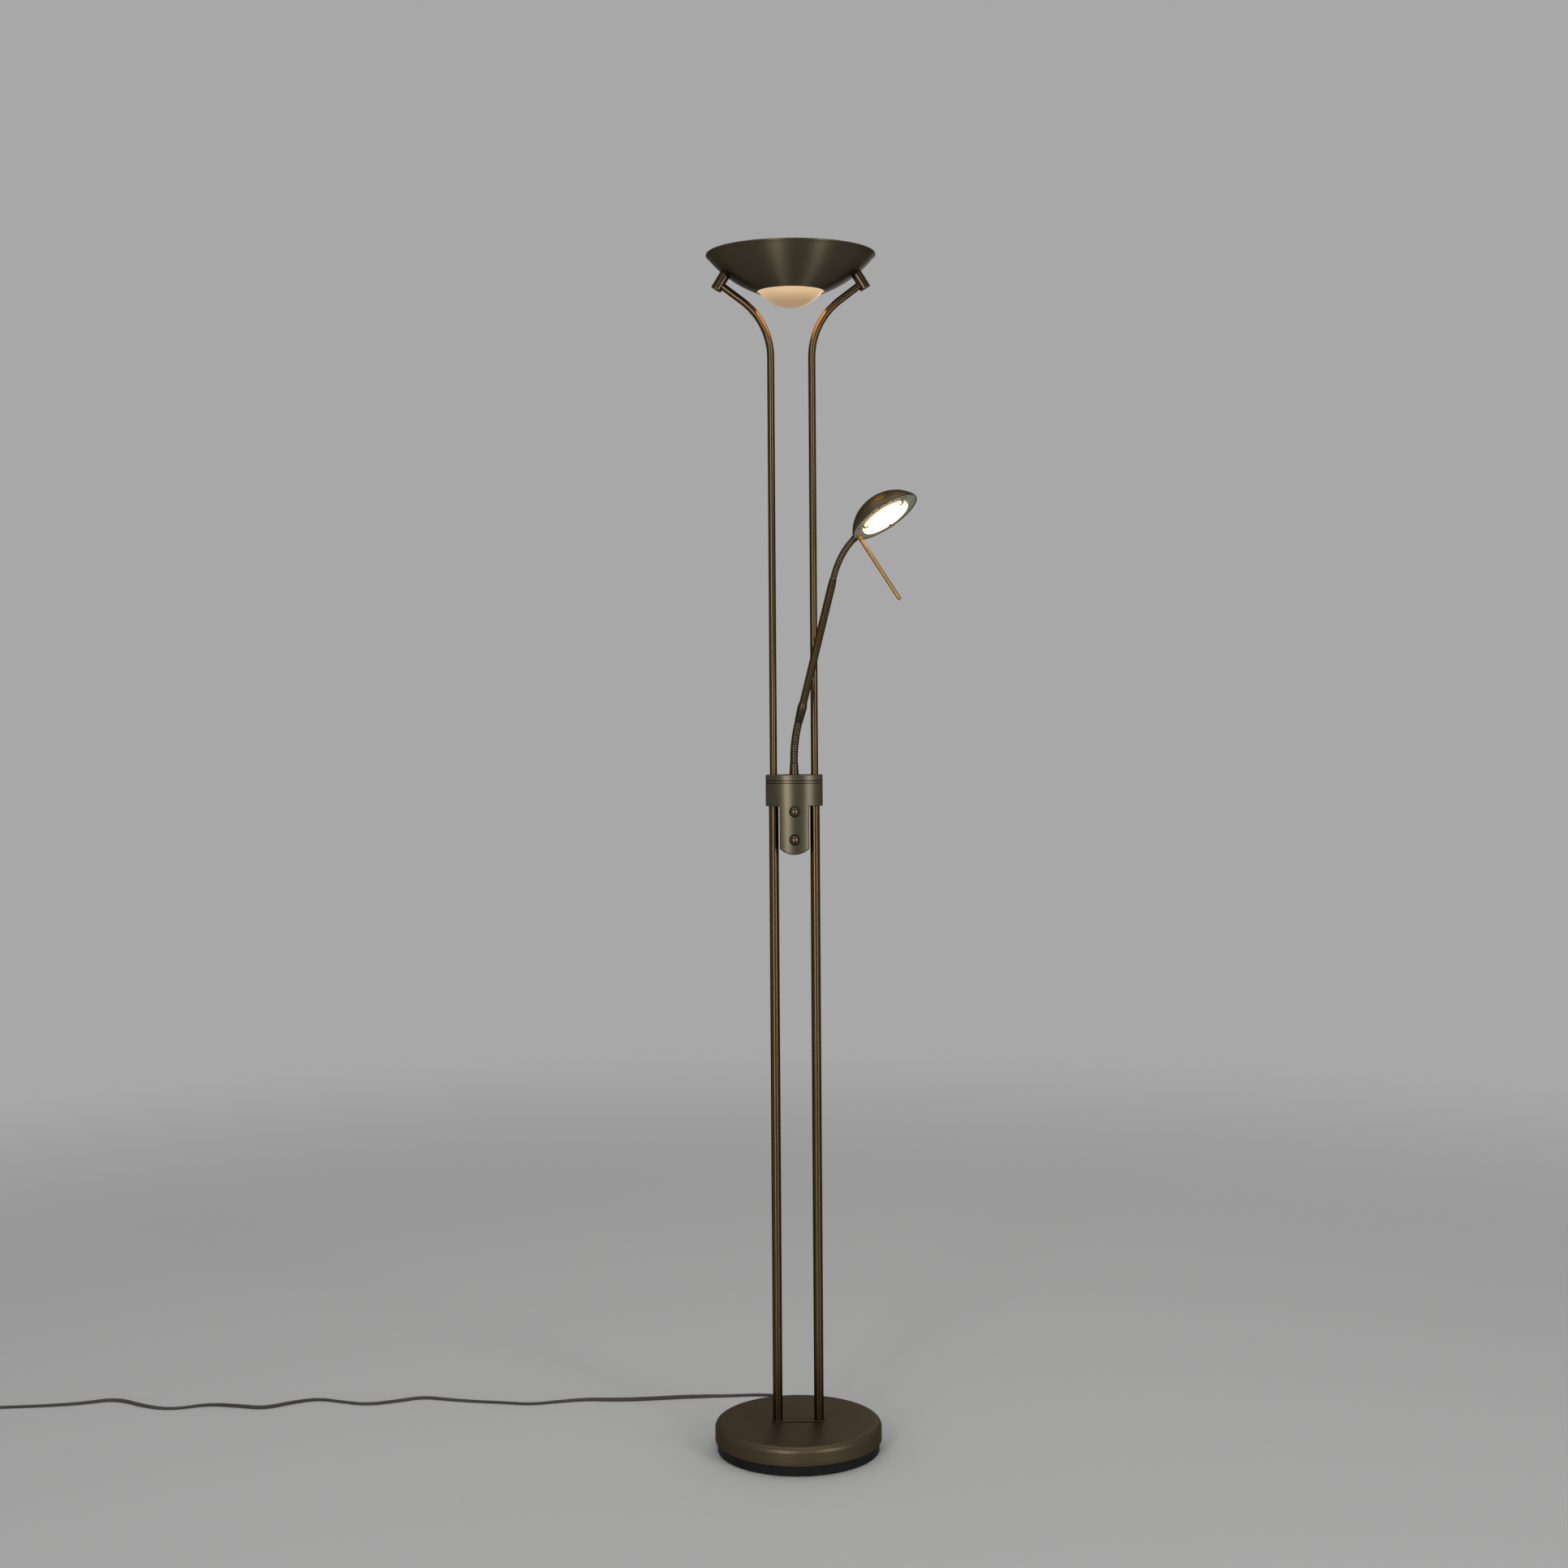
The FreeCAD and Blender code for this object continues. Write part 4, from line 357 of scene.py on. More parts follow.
BASE_BRONZE = replace(BRONZE, name="bronze_base", dark=(0.098, 0.073, 0.045), light=(0.114, 0.086, 0.054),
                      grain=Grain.RINGS, marks=0.45, roughness=(0.42, 0.46), relief=0.002, edge_tint=0.45)
# Lighter copy of the bronze: the flange's colour is raised as a painted highlight, so its front edge reads as a bright
# line.
EDGE_LIT_FLANGE_BRONZE = replace(BRONZE, name="bronze_flange_painted_highlight", dark=(0.120, 0.094, 0.062), light=(0.140, 0.110, 0.074),
                        marks=0.5)
BOSS_BRONZE = replace(BRONZE, name="bronze_boss", roughness=(0.2, 0.3))
BOWL_BRONZE = replace(BRONZE, name="bronze_bowl", dark=(0.105, 0.090, 0.058), light=(0.125, 0.107, 0.070),
                      grain=Grain.RINGS, roughness=(0.46, 0.5), marks=0.45, relief=0.002, stretch=0.9)
# Housing bronze with painted shade in its grooves; the housing gives the grooves' heights.
HOUSING_BRONZE = GrooveShaded("bronze_housing_painted_groove_shade", (0.100, 0.086, 0.057), (0.122, 0.105, 0.071), metallic=1.0,
                         roughness=(0.4, 0.44), marks=0.4, patches=45.0, relief=0.001, edge_tint=0.45, stretch=0.6)
TURNED_BRONZE = replace(BRONZE, roughness=(0.34, 0.38), grain=Grain.RINGS, stretch=0.8)
KNOB_BRONZE = replace(BRONZE, dark=(0.098, 0.070, 0.047), light=(0.116, 0.084, 0.057), grain=Grain.RINGS,
                      roughness=(0.2, 0.24), edge_tint=0.3)
NECK_BRONZE = replace(BRONZE, dark=(0.094, 0.068, 0.039), light=(0.110, 0.080, 0.048), roughness=(0.19, 0.22),
                      marks=0.3, relief=0.0005, edge_tint=0.12)
SHADE_BRONZE = replace(BRONZE, name="bronze_shade", dark=(0.110, 0.086, 0.050), light=(0.130, 0.103, 0.062),
                       grain=Grain.RINGS, roughness=(0.36, 0.4), marks=0.4, relief=0.001, edge_tint=0.35)
# Lit copy of the bronze: the handle's colour is raised to a bright orange as painted light from the reading glass.
LAMPLIT_HANDLE_BRONZE = replace(BRONZE, name="bronze_handle_painted_lamplight", dark=(0.40, 0.225, 0.075), light=(0.46, 0.265, 0.095),
                        grain=Grain.ALONG, roughness=(0.3, 0.33), relief=0.0004, edge_tint=0.3, stretch=0.85)
FERRULE_BRONZE = replace(BRONZE, name="bronze_ferrule", grain=Grain.ALONG, roughness=(0.2, 0.3))
DOME_GLASS = Glow("frosted_dome", (0.23, 0.175, 0.115), (0.27, 0.210, 0.140), roughness=(0.3, 0.4), marks=0.6,
                  patches=40.0, relief=0.02, near=(0.40, 0.25, 0.105), far=(1.0, 0.66, 0.36),
                  span=(1723.0, 1747.0), strength=0.6)
LIT_GLASS = Glow("lit_glass", (0.75, 0.72, 0.66), (0.82, 0.80, 0.74), roughness=(0.25, 0.35), marks=0.6,
                 patches=20.0, relief=0.01, grain=Grain.RINGS, near=(1.0, 0.86, 0.66), far=(1.0, 0.56, 0.20),
                 span=(31.0, 37.6), strength=2.2, radial=True)
LIT_TUBE = Glow("lit_tube", (0.8, 0.75, 0.68), (0.85, 0.8, 0.74), near=(1.0, 0.82, 0.58), far=(1.0, 0.82, 0.58),
                strength=3.0, roughness=(0.1, 0.2))
LIT_CAPSULE = replace(LIT_TUBE, name="lit_capsule", strength=4.0)


# ---------------------------------------------------------------- meshes

class Shape:
    """Mesh under construction, in metres in the lamp's frame."""

    def __init__(self) -> None:
        """Start with nothing."""
        self.mesh = bmesh.new()

    def skin(self, rings: Sequence[list], closed: bool) -> None:
        """Cover the space between neighbouring rings of vertices; a ring of one vertex is a pole."""
        following = list(rings[1:]) + ([rings[0]] if closed else [])
        for low, high in zip(rings, following):
            sides = max(len(low), len(high))
            if sides == 1:
                continue
            for here in range(sides):
                there = (here + 1) % sides
                corners = [low[here % len(low)], low[there % len(low)], high[there % len(high)],
                           high[here % len(high)]]
                self.mesh.faces.new(list(dict.fromkeys(corners)))

    def turned(self, profile: Profile, where: Matrix, sides: int = 64, closed: bool = True) -> "Shape":
        """Turn a profile once round the Z axis.

        Args:
            profile: Pairs of radius and height, with the solid on the left of their direction.
            where: Place of the piece.
            sides: Faces round the axis.
            closed: True where the last point joins the first.

        Returns:
            The shape itself.
        """
        rings = []
        for radius, height in profile:
            count = sides if radius > TINY else 1
            angles = [2 * math.pi * side / sides for side in range(count)]
            rings.append([self.mesh.verts.new(where @ Vector((radius * math.cos(angle), radius * math.sin(angle),
                                                              height))) for angle in angles])
        self.skin(rings, closed)
        return self

    def swept(self, path: Sequence[Vector], level: Callable[[int], Vector],
              outline: Callable[[int], Profile], cap: bool = True) -> "Shape":
        """Carry an outline along a path.

        Args:
            path: Points of the path in metres.
            level: Direction that the outline's second axis lies nearest to, at each point.
            outline: The outline's pairs in metres, at each point.
            cap: Whether the ends are closed.

        Returns:
            The shape itself.
        """
        rings = []
        for index, point in enumerate(path):
            before = path[max(index - 1, 0)]
            after = path[min(index + 1, len(path) - 1)]
            along = (after - before).normalized()
            side = along.cross(level(index)).normalized()
            rise = side.cross(along)
            rings.append([self.mesh.verts.new(point + side * pair[0] + rise * pair[1]) for pair in outline(index)])
        self.skin(rings, False)
        if cap:
            self.mesh.faces.new(list(reversed(rings[0])))
            self.mesh.faces.new(rings[-1])
        return self

    def outward(self) -> "Shape":
        """Turn each closed part so that its faces point outwards."""
        bmesh.ops.recalc_face_normals(self.mesh, faces=self.mesh.faces)
        return self

    def piece(self, name: str, finish: Finish, crease: float = 38.0) -> bpy.types.Object:
        """The finished mesh as an object, smooth except along edges sharper than an angle in degrees."""
        self.mesh.normal_update()
        for face in self.mesh.faces:
            face.smooth = True
        for edge in self.mesh.edges:
            edge.smooth = len(edge.link_faces) == 2 and edge.calc_face_angle(0.0) < math.radians(crease)
        data = bpy.data.meshes.new(name)
        self.mesh.to_mesh(data)
        self.mesh.free()
        return as_object(name, data, finish)


def as_object(name: str, data: bpy.types.Mesh, finish: Finish) -> bpy.types.Object:
    """Object of a mesh with a finish, linked to the scene."""
    for attribute in [layer for layer in data.attributes if layer.name == "custom_normal"]:
        data.attributes.remove(attribute)
    data.materials.clear()
    data.materials.append(finish.material())
    made = bpy.data.objects.new(name, data)
    bpy.context.scene.collection.objects.link(made)
    return made


def frozen(source: bpy.types.Object, name: str, finish: Finish, where: Matrix | None = None) -> bpy.types.Object:
    """Plain mesh of an object with its modifiers applied; the source is removed."""
    evaluated = source.evaluated_get(bpy.context.evaluated_depsgraph_get())
    data = bpy.data.meshes.new_from_object(evaluated)
    data.name = name
    if where is not None:
        data.transform(where)
    bpy.data.objects.remove(source)
    return as_object(name, data, finish)


def lathed(name: str, finish: Finish, profile: Profile, where: Matrix, sides: int, closed: bool = False,
           crease: float = 38.0) -> bpy.types.Object:
    """Piece turned from one profile.

    Args:
        name: Name of the piece.
        finish: The piece's finish.
        profile: Pairs of radius and height in millimetres.
        where: Place of the piece.
        sides: Faces round the axis.
        closed: True where the profile is a loop, and False where it runs from pole to pole.
        crease: Angle in degrees above which an edge looks sharp.

    Returns:
        The piece.
    """
    return Shape().turned(profile, where, sides, closed).outward().piece(name, finish, crease)


def refined(node: str, name: str, finish: Finish, bevel: float) -> bpy.types.Object:
    """Copy of a CAD node with its triangles merged, its flat faces cleaned and its edges eased.

    Args:
        node: Name of the CAD node.
        name: Name of the piece.
        finish: The piece's finish.
        bevel: Width of the eased edges in millimetres, or 0 for edges left sharp.

    Returns:
        The piece.
    """
    shape = Shape()
    shape.mesh.from_mesh(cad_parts[node].data)
    bmesh.ops.remove_doubles(shape.mesh, verts=shape.mesh.verts, dist=MERGE_DISTANCE)
    bmesh.ops.dissolve_limit(shape.mesh, angle_limit=FLAT_ANGLE, verts=shape.mesh.verts, edges=shape.mesh.edges)
    made = shape.piece(name, finish, REFINED_CREASE)
    if bevel > 0:
        ease = made.modifiers.new("eased_edges", "BEVEL")
        ease.width = bevel * MM
        ease.segments = 2
        ease.limit_method = "ANGLE"
        ease.angle_limit = EASED_ANGLE
        ease.harden_normals = True
        made = frozen(made, name, finish)
    return made


class ShapeTree(ABC):
    """Geometry Nodes tree that turns a source into a finished piece by named inputs."""

    NAME: str
    INPUTS: tuple[tuple[str, str, float], ...]

    @classmethod
    def tree(cls) -> bpy.types.NodeTree:
        """The tree, made on first use."""
        made = bpy.data.node_groups.get(cls.NAME)
        if made is not None:
            return made
        tree = bpy.data.node_groups.new(cls.NAME, "GeometryNodeTree")
        tree.interface.new_socket("Geometry", in_out="INPUT", socket_type="NodeSocketGeometry")
        for name, kind, value in cls.INPUTS:
            tree.interface.new_socket(name, in_out="INPUT", socket_type=kind).default_value = value
        tree.interface.new_socket("Finish", in_out="INPUT", socket_type="NodeSocketMaterial")
        tree.interface.new_socket("Geometry", in_out="OUTPUT", socket_type="NodeSocketGeometry")
        nodes = Nodes(tree)
        given = nodes.add("NodeGroupInput").outputs
        whole = nodes.add("GeometryNodeRealizeInstances", {0: cls.shape(nodes, given)})
        dressed = nodes.add("GeometryNodeSetMaterial", {"Geometry": whole.outputs[0], "Material": given["Finish"]})
        nodes.add("NodeGroupOutput", {0: dressed.outputs[0]})
        return tree

    @classmethod
    @abstractmethod
    def shape(cls, nodes: Nodes, given: bpy.types.bpy_prop_collection) -> bpy.types.NodeSocket:
        """Add the tree's own nodes and return the geometry they make."""

    @classmethod
    def applied(cls, source: bpy.types.Object, values: Sequence[float], name: str, finish: Finish,
                where: Matrix | None = None) -> bpy.types.Object:
        """Plain mesh that the tree makes of a source object.

        Args:
            source: The object the tree works on, which is removed.
            values: Values of the tree's inputs in their order.
            name: Name of the piece.
            finish: The piece's finish.
            where: Place of the piece, if it isn't drawn in place.

        Returns:
            The piece.
        """
        modifier = source.modifiers.new(cls.NAME, "NODES")
        modifier.node_group = cls.tree()
        sockets = [item for item in cls.tree().interface.items_tree if item.in_out == "INPUT"][1:]
        for socket, value in zip(sockets, (*values, finish.material())):
            modifier[socket.identifier] = value
        return frozen(source, name, finish, where)


class RibbedTube(ShapeTree):
    """Corrugated tube along a centre line."""

    NAME = "ribbed_tube"
    INPUTS = tuple((name, "NodeSocketFloat", value) for name, value in (
        ("Start Radius", 0.006), ("End Radius", 0.006), ("Groove Depth", 0.0008), ("Ribs", 4.0), ("Roundness", 2.4)))
    LENGTHS = 3
    STEPS = 12
    SIDES = 40

    @classmethod
    def shape(cls, nodes: Nodes, given: bpy.types.bpy_prop_collection) -> bpy.types.NodeSocket:
        """Tube whose radius dips between its ribs."""
        steps = nodes.math("ADD", nodes.math("MULTIPLY", given["Ribs"], cls.STEPS), 1.0)
        line = nodes.add("GeometryNodeResampleCurve", {"Curve": given["Geometry"], "Count": steps}, mode="COUNT")
        factor = nodes.add("GeometryNodeSplineParameter").outputs["Factor"]
        phase = nodes.math("FRACT", nodes.math("MULTIPLY", factor, given["Ribs"]))
        off_middle = nodes.math("ABSOLUTE", nodes.math("SUBTRACT", nodes.math("MULTIPLY", phase, 2.0), 1.0))
        dip = nodes.math("MULTIPLY", nodes.math("POWER", off_middle, given["Roundness"]), given["Groove Depth"])
        taper = nodes.math("MULTIPLY", nodes.math("SUBTRACT", given["End Radius"], given["Start Radius"]), factor)
        radius = nodes.math("SUBTRACT", nodes.math("ADD", given["Start Radius"], taper), dip)
        ring = nodes.add("GeometryNodeCurvePrimitiveCircle", {"Resolution": cls.SIDES, "Radius": 1.0})
        tube = nodes.add("GeometryNodeCurveToMesh", {
            "Curve": line.outputs[0], "Profile Curve": ring.outputs[0], "Scale": radius, "Fill Caps": True})
        return nodes.add("GeometryNodeSetShadeSmooth", {0: tube.outputs[0]}).outputs[0]

    @classmethod
    def along(cls, name: str, line: Sequence[Vector], sizes: Sequence[float], finish: Finish) -> bpy.types.Object:
        """Corrugated tube along a line.

        Args:
            name: Name of the piece.
            line: Points of the centre line in millimetres.
            sizes: Values of the tree's inputs, lengths in millimetres.
            finish: The tube's finish.

        Returns:
            The tube as a plain mesh.
        """
        curve = bpy.data.curves.new(name + "_line", "CURVE")
        curve.dimensions = "3D"
        spline = curve.splines.new("POLY")
        spline.points.add(len(line) - 1)
        for point, place_mm in zip(spline.points, line):
            point.co = (*(place_mm * MM), 1.0)
        source = bpy.data.objects.new(name + "_line", curve)
        bpy.context.scene.collection.objects.link(source)
        values = [size * MM for size in sizes[:cls.LENGTHS]] + [float(size) for size in sizes[cls.LENGTHS:]]
        return cls.applied(source, values, name, finish)


class CopiesRound(ShapeTree):
    """Copies of a piece round its Z axis."""

    NAME = "copies_round"
    INPUTS = (("Count", "NodeSocketInt", 3), ("Start", "NodeSocketFloat", 0.0))

    @classmethod
    def shape(cls, nodes: Nodes, given: bpy.types.bpy_prop_collection) -> bpy.types.NodeSocket:
        """Copies at even steps from the first one's angle."""
        points = nodes.add("GeometryNodeMeshLine", {"Count": given["Count"], "Offset": (0.0, 0.0, 0.0)})
        index = nodes.add("GeometryNodeInputIndex").outputs[0]
        step = nodes.math("DIVIDE", 2 * math.pi, given["Count"])
        angle = nodes.math("ADD", given["Start"], nodes.math("MULTIPLY", index, step))
        turn = nodes.add("ShaderNodeCombineXYZ", {2: angle})
        return nodes.add("GeometryNodeInstanceOnPoints", {
            "Points": points.outputs[0], "Instance": given["Geometry"], "Rotation": turn.outputs[0]}).outputs[0]

    @classmethod
    def of(cls, one: bpy.types.Object, count: int, start: float, finish: Finish, where: Matrix) -> bpy.types.Object:
        """Copies of a piece that is drawn about its own axes.

        Args:
            one: The piece at its first place, in metres before it is placed.
            count: How many copies.
            start: Angle of the first copy, in degrees.
            finish: Finish of the copies.
            where: Place of the whole ring, without its scale to metres.

        Returns:
            All copies as one plain mesh.
        """
        return cls.applied(one, (count, math.radians(start)), one.name, finish, where)


# ---------------------------------------------------------------- studio

@dataclass
class SoftBox:
    """Soft lamp that faces the object: azimuth from the front in degrees, sizes in metres.

    The tilt is the angle in degrees from facing straight down to facing level.
    """

    name: str
    azimuth: float
    distance: float
    width: float
    height: float
    middle: float
    radiance: float
    tilt: float = 90.0

    def build(self) -> None:
        """Add the lamp to the scene."""
        data = bpy.data.lights.new(self.name, "AREA")
        data.shape = "RECTANGLE"
        data.size = self.width
        data.size_y = self.height
        data.energy = self.radiance * math.pi * self.width * self.height
        lamp = bpy.data.objects.new(self.name, data)
        turn = math.radians(self.azimuth)
        lamp.location = (self.distance * math.sin(turn), -self.distance * math.cos(turn), self.middle)
        lamp.rotation_euler = (math.radians(self.tilt), 0.0, turn)
        lamp.visible_camera = False
        bpy.context.scene.collection.objects.link(lamp)


@dataclass
class Studio:
    """Camera, pale surroundings, floor and soft lamps. Places are in metres and angles in degrees."""

    eye: Triple = (-0.01426, -3.353, 1.149)
    focal_length: float = 51.056
    sensor_width: float = 36.0
    shift: float = -0.0623
    roll: float = 0.3925
    farthest: float = 60.0
    background: Triple = (0.39, 0.393, 0.39)
    fill: float = 0.42
    floor_colour: Triple = (0.49, 0.493, 0.49)
    floor_radius: float = 9.0
    floor_drop: float = 0.02
    floor_rings: int = 12
    floor_grain: float = 60.0
    floor_relief: float = 0.0005
    fade: tuple[float, float] = (1.5, 3.9)
    boxes: list[SoftBox] = field(default_factory=lambda: [
        SoftBox("left_box", -20.0, 4.4, 0.75, 3.0, 1.35, 11.0),
        SoftBox("right_box", 42.0, 4.0, 0.6, 2.8, 1.35, 9.5),
        SoftBox("rear_box", 165.0, 4.2, 1.6, 2.2, 1.9, 0.9),
        SoftBox("top_box", 0.0, 0.0, 3.0, 3.0, 3.4, 0.8, tilt=0.0),
    ])
    glow_diameter: float = 0.1
    glow_power: float = 0.2
    glow_colour: Triple = (1.0, 0.55, 0.22)
    glow_height: float = 1.717

    def camera(self) -> None:
        """Add the camera at the photograph's viewpoint."""
        data = bpy.data.cameras.new("camera")
        data.sensor_width = self.sensor_width
        data.lens = self.focal_length
        data.shift_y = self.shift
        data.clip_end = self.farthest
        camera = bpy.data.objects.new("camera", data)
        level = Matrix.Rotation(math.pi / 2, 4, "X")
        camera.matrix_world = (Matrix.Translation(self.eye) @ Matrix.Rotation(math.radians(self.roll), 4, "Y")
                               @ level)
        bpy.context.scene.collection.objects.link(camera)
        bpy.context.scene.camera = camera
        bpy.context.scene.view_settings.view_transform = "Standard"

    def surroundings(self) -> None:
        """Pale background for the camera, gloss and glass, and a plain fill for everything else."""
        world = bpy.data.worlds.new("studio")
        bpy.context.scene.world = world
        world.use_nodes = True
        world.node_tree.nodes.clear()
        nodes = Nodes(world.node_tree)
        path = nodes.add("ShaderNodeLightPath").outputs
        seen = nodes.math("MAXIMUM", nodes.math("MAXIMUM", path["Is Camera Ray"], path["Is Glossy Ray"]),
                          path["Is Transmission Ray"])
        fill = nodes.add("ShaderNodeBackground", {"Color": (1.0, 1.0, 1.0, 1.0), "Strength": self.fill})
        shown = nodes.add("ShaderNodeBackground", {"Color": (*self.background, 1.0), "Strength": 1.0})
        both = nodes.add("ShaderNodeMixShader", {0: seen, 1: fill.outputs[0], 2: shown.outputs[0]})
        nodes.add("ShaderNodeOutputWorld", {"Surface": both.outputs[0]})

    def floor(self) -> None:
        """Add the round pale floor, which fades into the background."""
        reach = self.floor_radius / MM
        rings = [(reach * step / self.floor_rings, 0.0) for step in range(self.floor_rings + 1)]
        shape = Shape().turned(rings, place(UP * -self.floor_drop, UP), 64, False)
        paint = bpy.data.materials.new("floor_paint")
        paint.use_nodes = True
        paint.node_tree.nodes.clear()
        nodes = Nodes(paint.node_tree)
        own = nodes.add("ShaderNodeTexCoord").outputs["Object"]
        grain = nodes.add("ShaderNodeTexNoise", {"Vector": own, "Scale": self.floor_grain,
                                                 "Detail": 3.0}).outputs["Fac"]
        distance = nodes.add("ShaderNodeVectorMath", {0: own}, operation="LENGTH").outputs["Value"]
        share = nodes.add("ShaderNodeMapRange", {0: distance, 1: self.fade[0], 2: self.fade[1], 3: 0.0, 4: 1.0},
                          interpolation_type="SMOOTHSTEP").outputs[0]
        bump = nodes.add("ShaderNodeBump", {"Strength": 0.1, "Distance": self.floor_relief, "Height": grain})
        matt = nodes.add("ShaderNodeBsdfDiffuse", {"Color": (*self.floor_colour, 1.0), "Normal": bump.outputs[0]})
        clear = nodes.add("ShaderNodeBsdfTransparent")
        both = nodes.add("ShaderNodeMixShader", {0: share, 1: matt.outputs[0], 2: clear.outputs[0]})
        nodes.add("ShaderNodeOutputMaterial", {"Surface": both.outputs[0]})
        made = shape.piece("floor", BAND)
        made.data.materials.clear()
        made.data.materials.append(paint)

    def warm_glow(self) -> None:
        """Add the small warm lamp under the bowl's glass, for the glow on the tubes' bends."""
        data = bpy.data.lights.new("dome_glow", "AREA")
        data.shape = "DISK"
        data.size = self.glow_diameter
        data.energy = self.glow_power
        data.color = self.glow_colour
        lamp = bpy.data.objects.new("dome_glow", data)
        lamp.location = UP * self.glow_height
        lamp.visible_camera = False
        bpy.context.scene.collection.objects.link(lamp)

    def build(self) -> None:
        """Add everything but the camera."""
        self.surroundings()
        self.floor()
        for box in self.boxes:
            box.build()
        self.warm_glow()


# ---------------------------------------------------------------- sub-assemblies

class SubAssembly(ABC):
    """Group of pieces that are built and dressed together."""

    @abstractmethod
    def build(self) -> list[bpy.types.Object]:
        """Build and dress the pieces, put them on their bodies and return them."""


def settle(made: bpy.types.Object, body: str, slot: str, *nodes: str) -> bpy.types.Object:
    """Put a finished piece on its body in place of its CAD nodes.

    Args:
        made: The piece.
        body: The CAD body it rides on.
        slot: Name of a material slot; not used.
        *nodes: The CAD nodes it stands for.

    Returns:
        The piece.
    """
    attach(made, body)
    if nodes:
        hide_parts(*nodes)
    return made


@dataclass
class MainsCord(SubAssembly):
    """Flat two-core cord on the floor with its strain relief, coil, tie and plug."""

    width: float = 6.0
    thickness: float = 4.0
    coil_radius: float = 33.0
    points_per_turn: int = 15
    turns: float = 3.25
    plug_reach: float = 30.0
    plug_size: Triple = (26.0, 14.0, 36.0)
    # Distance from the pins' face, width and height of each station of the plug's body.
    plug_stations: tuple[Triple, ...] = (
        (0.0, 22.6, 10.6), (0.5, 24.2, 12.2), (1.6, 25.2, 13.2), (6.0, 25.8, 13.8), (14.0, 25.8, 13.8),
        (18.0, 24.6, 13.2), (22.0, 22.0, 12.0), (26.0, 17.6, 10.8), (27.0, 17.2, 10.9), (28.0, 15.2, 9.8),
        (30.0, 14.0, 9.6), (31.0, 12.2, 8.8), (33.4, 10.6, 8.4), (35.4, 9.6, 8.0), (36.0, 8.8, 7.4),
    )
    plug_sides: int = 40
    # Powers that make the stations' ovals nearly oblong: across and upright.
    plug_fullness: tuple[float, float] = (0.55, 0.7)
    pin_radius: float = 2.0
    pin_length: float = 19.0
    # Reaches of the tail's points from the coil, and from the plug.
    tail_reach: tuple[tuple[float, float], tuple[float, float]] = ((4.0, 14.0), (-6.0, 4.0))
    # How far each point of the relief's shoulder lies in from its radius and down from its end.
    relief_shoulder: tuple[tuple[float, float], ...] = ((0.0, 0.6), (0.2, 0.1), (0.7, 0.0))
    relief_steps: int = 12
    pin_step: float = 0.05
    pin_sunk: float = 0.5
    pin_sleeve: float = 10.0
    pin_spacing: float = 18.6
    floor_gap: float = 0.05
    on_floor: float = 3.1
    settles_after: float = 0.05
    section_sides: int = 20
    # Depth and breadth of the groove between the two cores, as shares of the section's half width.
    waist: tuple[float, float] = (0.1, 0.22)
    # Lengths in metres over which the section turns freely: after the base, before the coil, and its run in.
    twist_reach: Triple = (0.12, 0.8, 0.2)
    # Amount in radians, rate per metre and start of each wave in which the section turns.
    twist_waves: tuple[Triple, ...] = ((0.75, 14.0, 0.6), (0.65, 6.3, 2.1))
    # Strain relief: start and length along Y, start height and fall, radii, groove depth, ribs and roundness.
    relief_start: float = 122.5
    relief_length: float = 23.0
    relief_height: float = 8.0
    relief_fall: float = 1.45
    relief_sizes: tuple[float, ...] = (4.6, 3.7, 0.5, 7, 2.0)
    relief_bore: float = 3.2
    relief_collar_radius: float = 5.0
    relief_collar_length: float = 7.0
    tie_half_span: float = 7.2
    tie_round: float = 4.0
    tie_foot: float = 0.4
    tie_side: float = 6.0
    tie_top: float = 7.6
    tie_half_width: float = 4.0
    tie_half_thickness: float = 0.4
    route: tuple[Triple, ...] = (
        (0.0, 0.146, 0.0065), (-0.0015, 0.172, 0.0042), (-0.005, 0.200, 0.00305), (-0.014, 0.226, 0.00305),
        (-0.036, 0.243, 0.00305), (-0.068, 0.249, 0.00305), (-0.1088, 0.245, 0.00305), (-0.156, 0.2415, 0.00305),
        (-0.2048, 0.2355, 0.00305), (-0.246, 0.2285, 0.00305), (-0.292, 0.226, 0.00305), (-0.340, 0.231, 0.00305),
        (-0.384, 0.222, 0.00305), (-0.428, 0.209, 0.00305), (-0.472, 0.2185, 0.00305), (-0.519, 0.225, 0.00305),
        (-0.566, 0.236, 0.00305), (-0.607, 0.248, 0.00305), (-0.648, 0.227, 0.00305), (-0.692, 0.213, 0.00305),
        (-0.733, 0.2275, 0.00305), (-0.774, 0.243, 0.00305), (-0.814, 0.224, 0.00305), (-0.852, 0.195, 0.00305),
        (-0.898, 0.209, 0.00305), (-0.949, 0.219, 0.00305), (-0.999, 0.196, 0.00305), (-1.046, 0.210, 0.00305),
        (-1.103, 0.249, 0.00305), (-1.150, 0.229, 0.00305), (-1.199, 0.2195, 0.00305), (-1.250, 0.214, 0.00305),
        (-1.299, 0.210, 0.00305), (-1.345, 0.207, 0.00305),
    )
    # Angle in degrees past the coil's start, radius and height of the centre line.
    winding: tuple[Triple, ...] = (
        (0.0, 33.0, 2.05), (24.0, 34.6, 2.05), (48.0, 36.0, 2.05), (72.0, 36.5, 2.05), (288.0, 36.5, 2.05),
        (312.0, 34.4, 2.05), (336.0, 30.6, 2.05), (360.0, 27.2, 2.05), (384.0, 27.4, 2.05), (408.0, 28.8, 2.05),
        (432.0, 30.0, 2.05), (600.0, 30.0, 2.05), (624.0, 30.6, 3.6), (648.0, 31.8, 5.6), (672.0, 32.8, 7.1),
        (696.0, 33.2, 7.2), (744.0, 33.2, 6.9), (1170.0, 33.1, 6.9),
    )

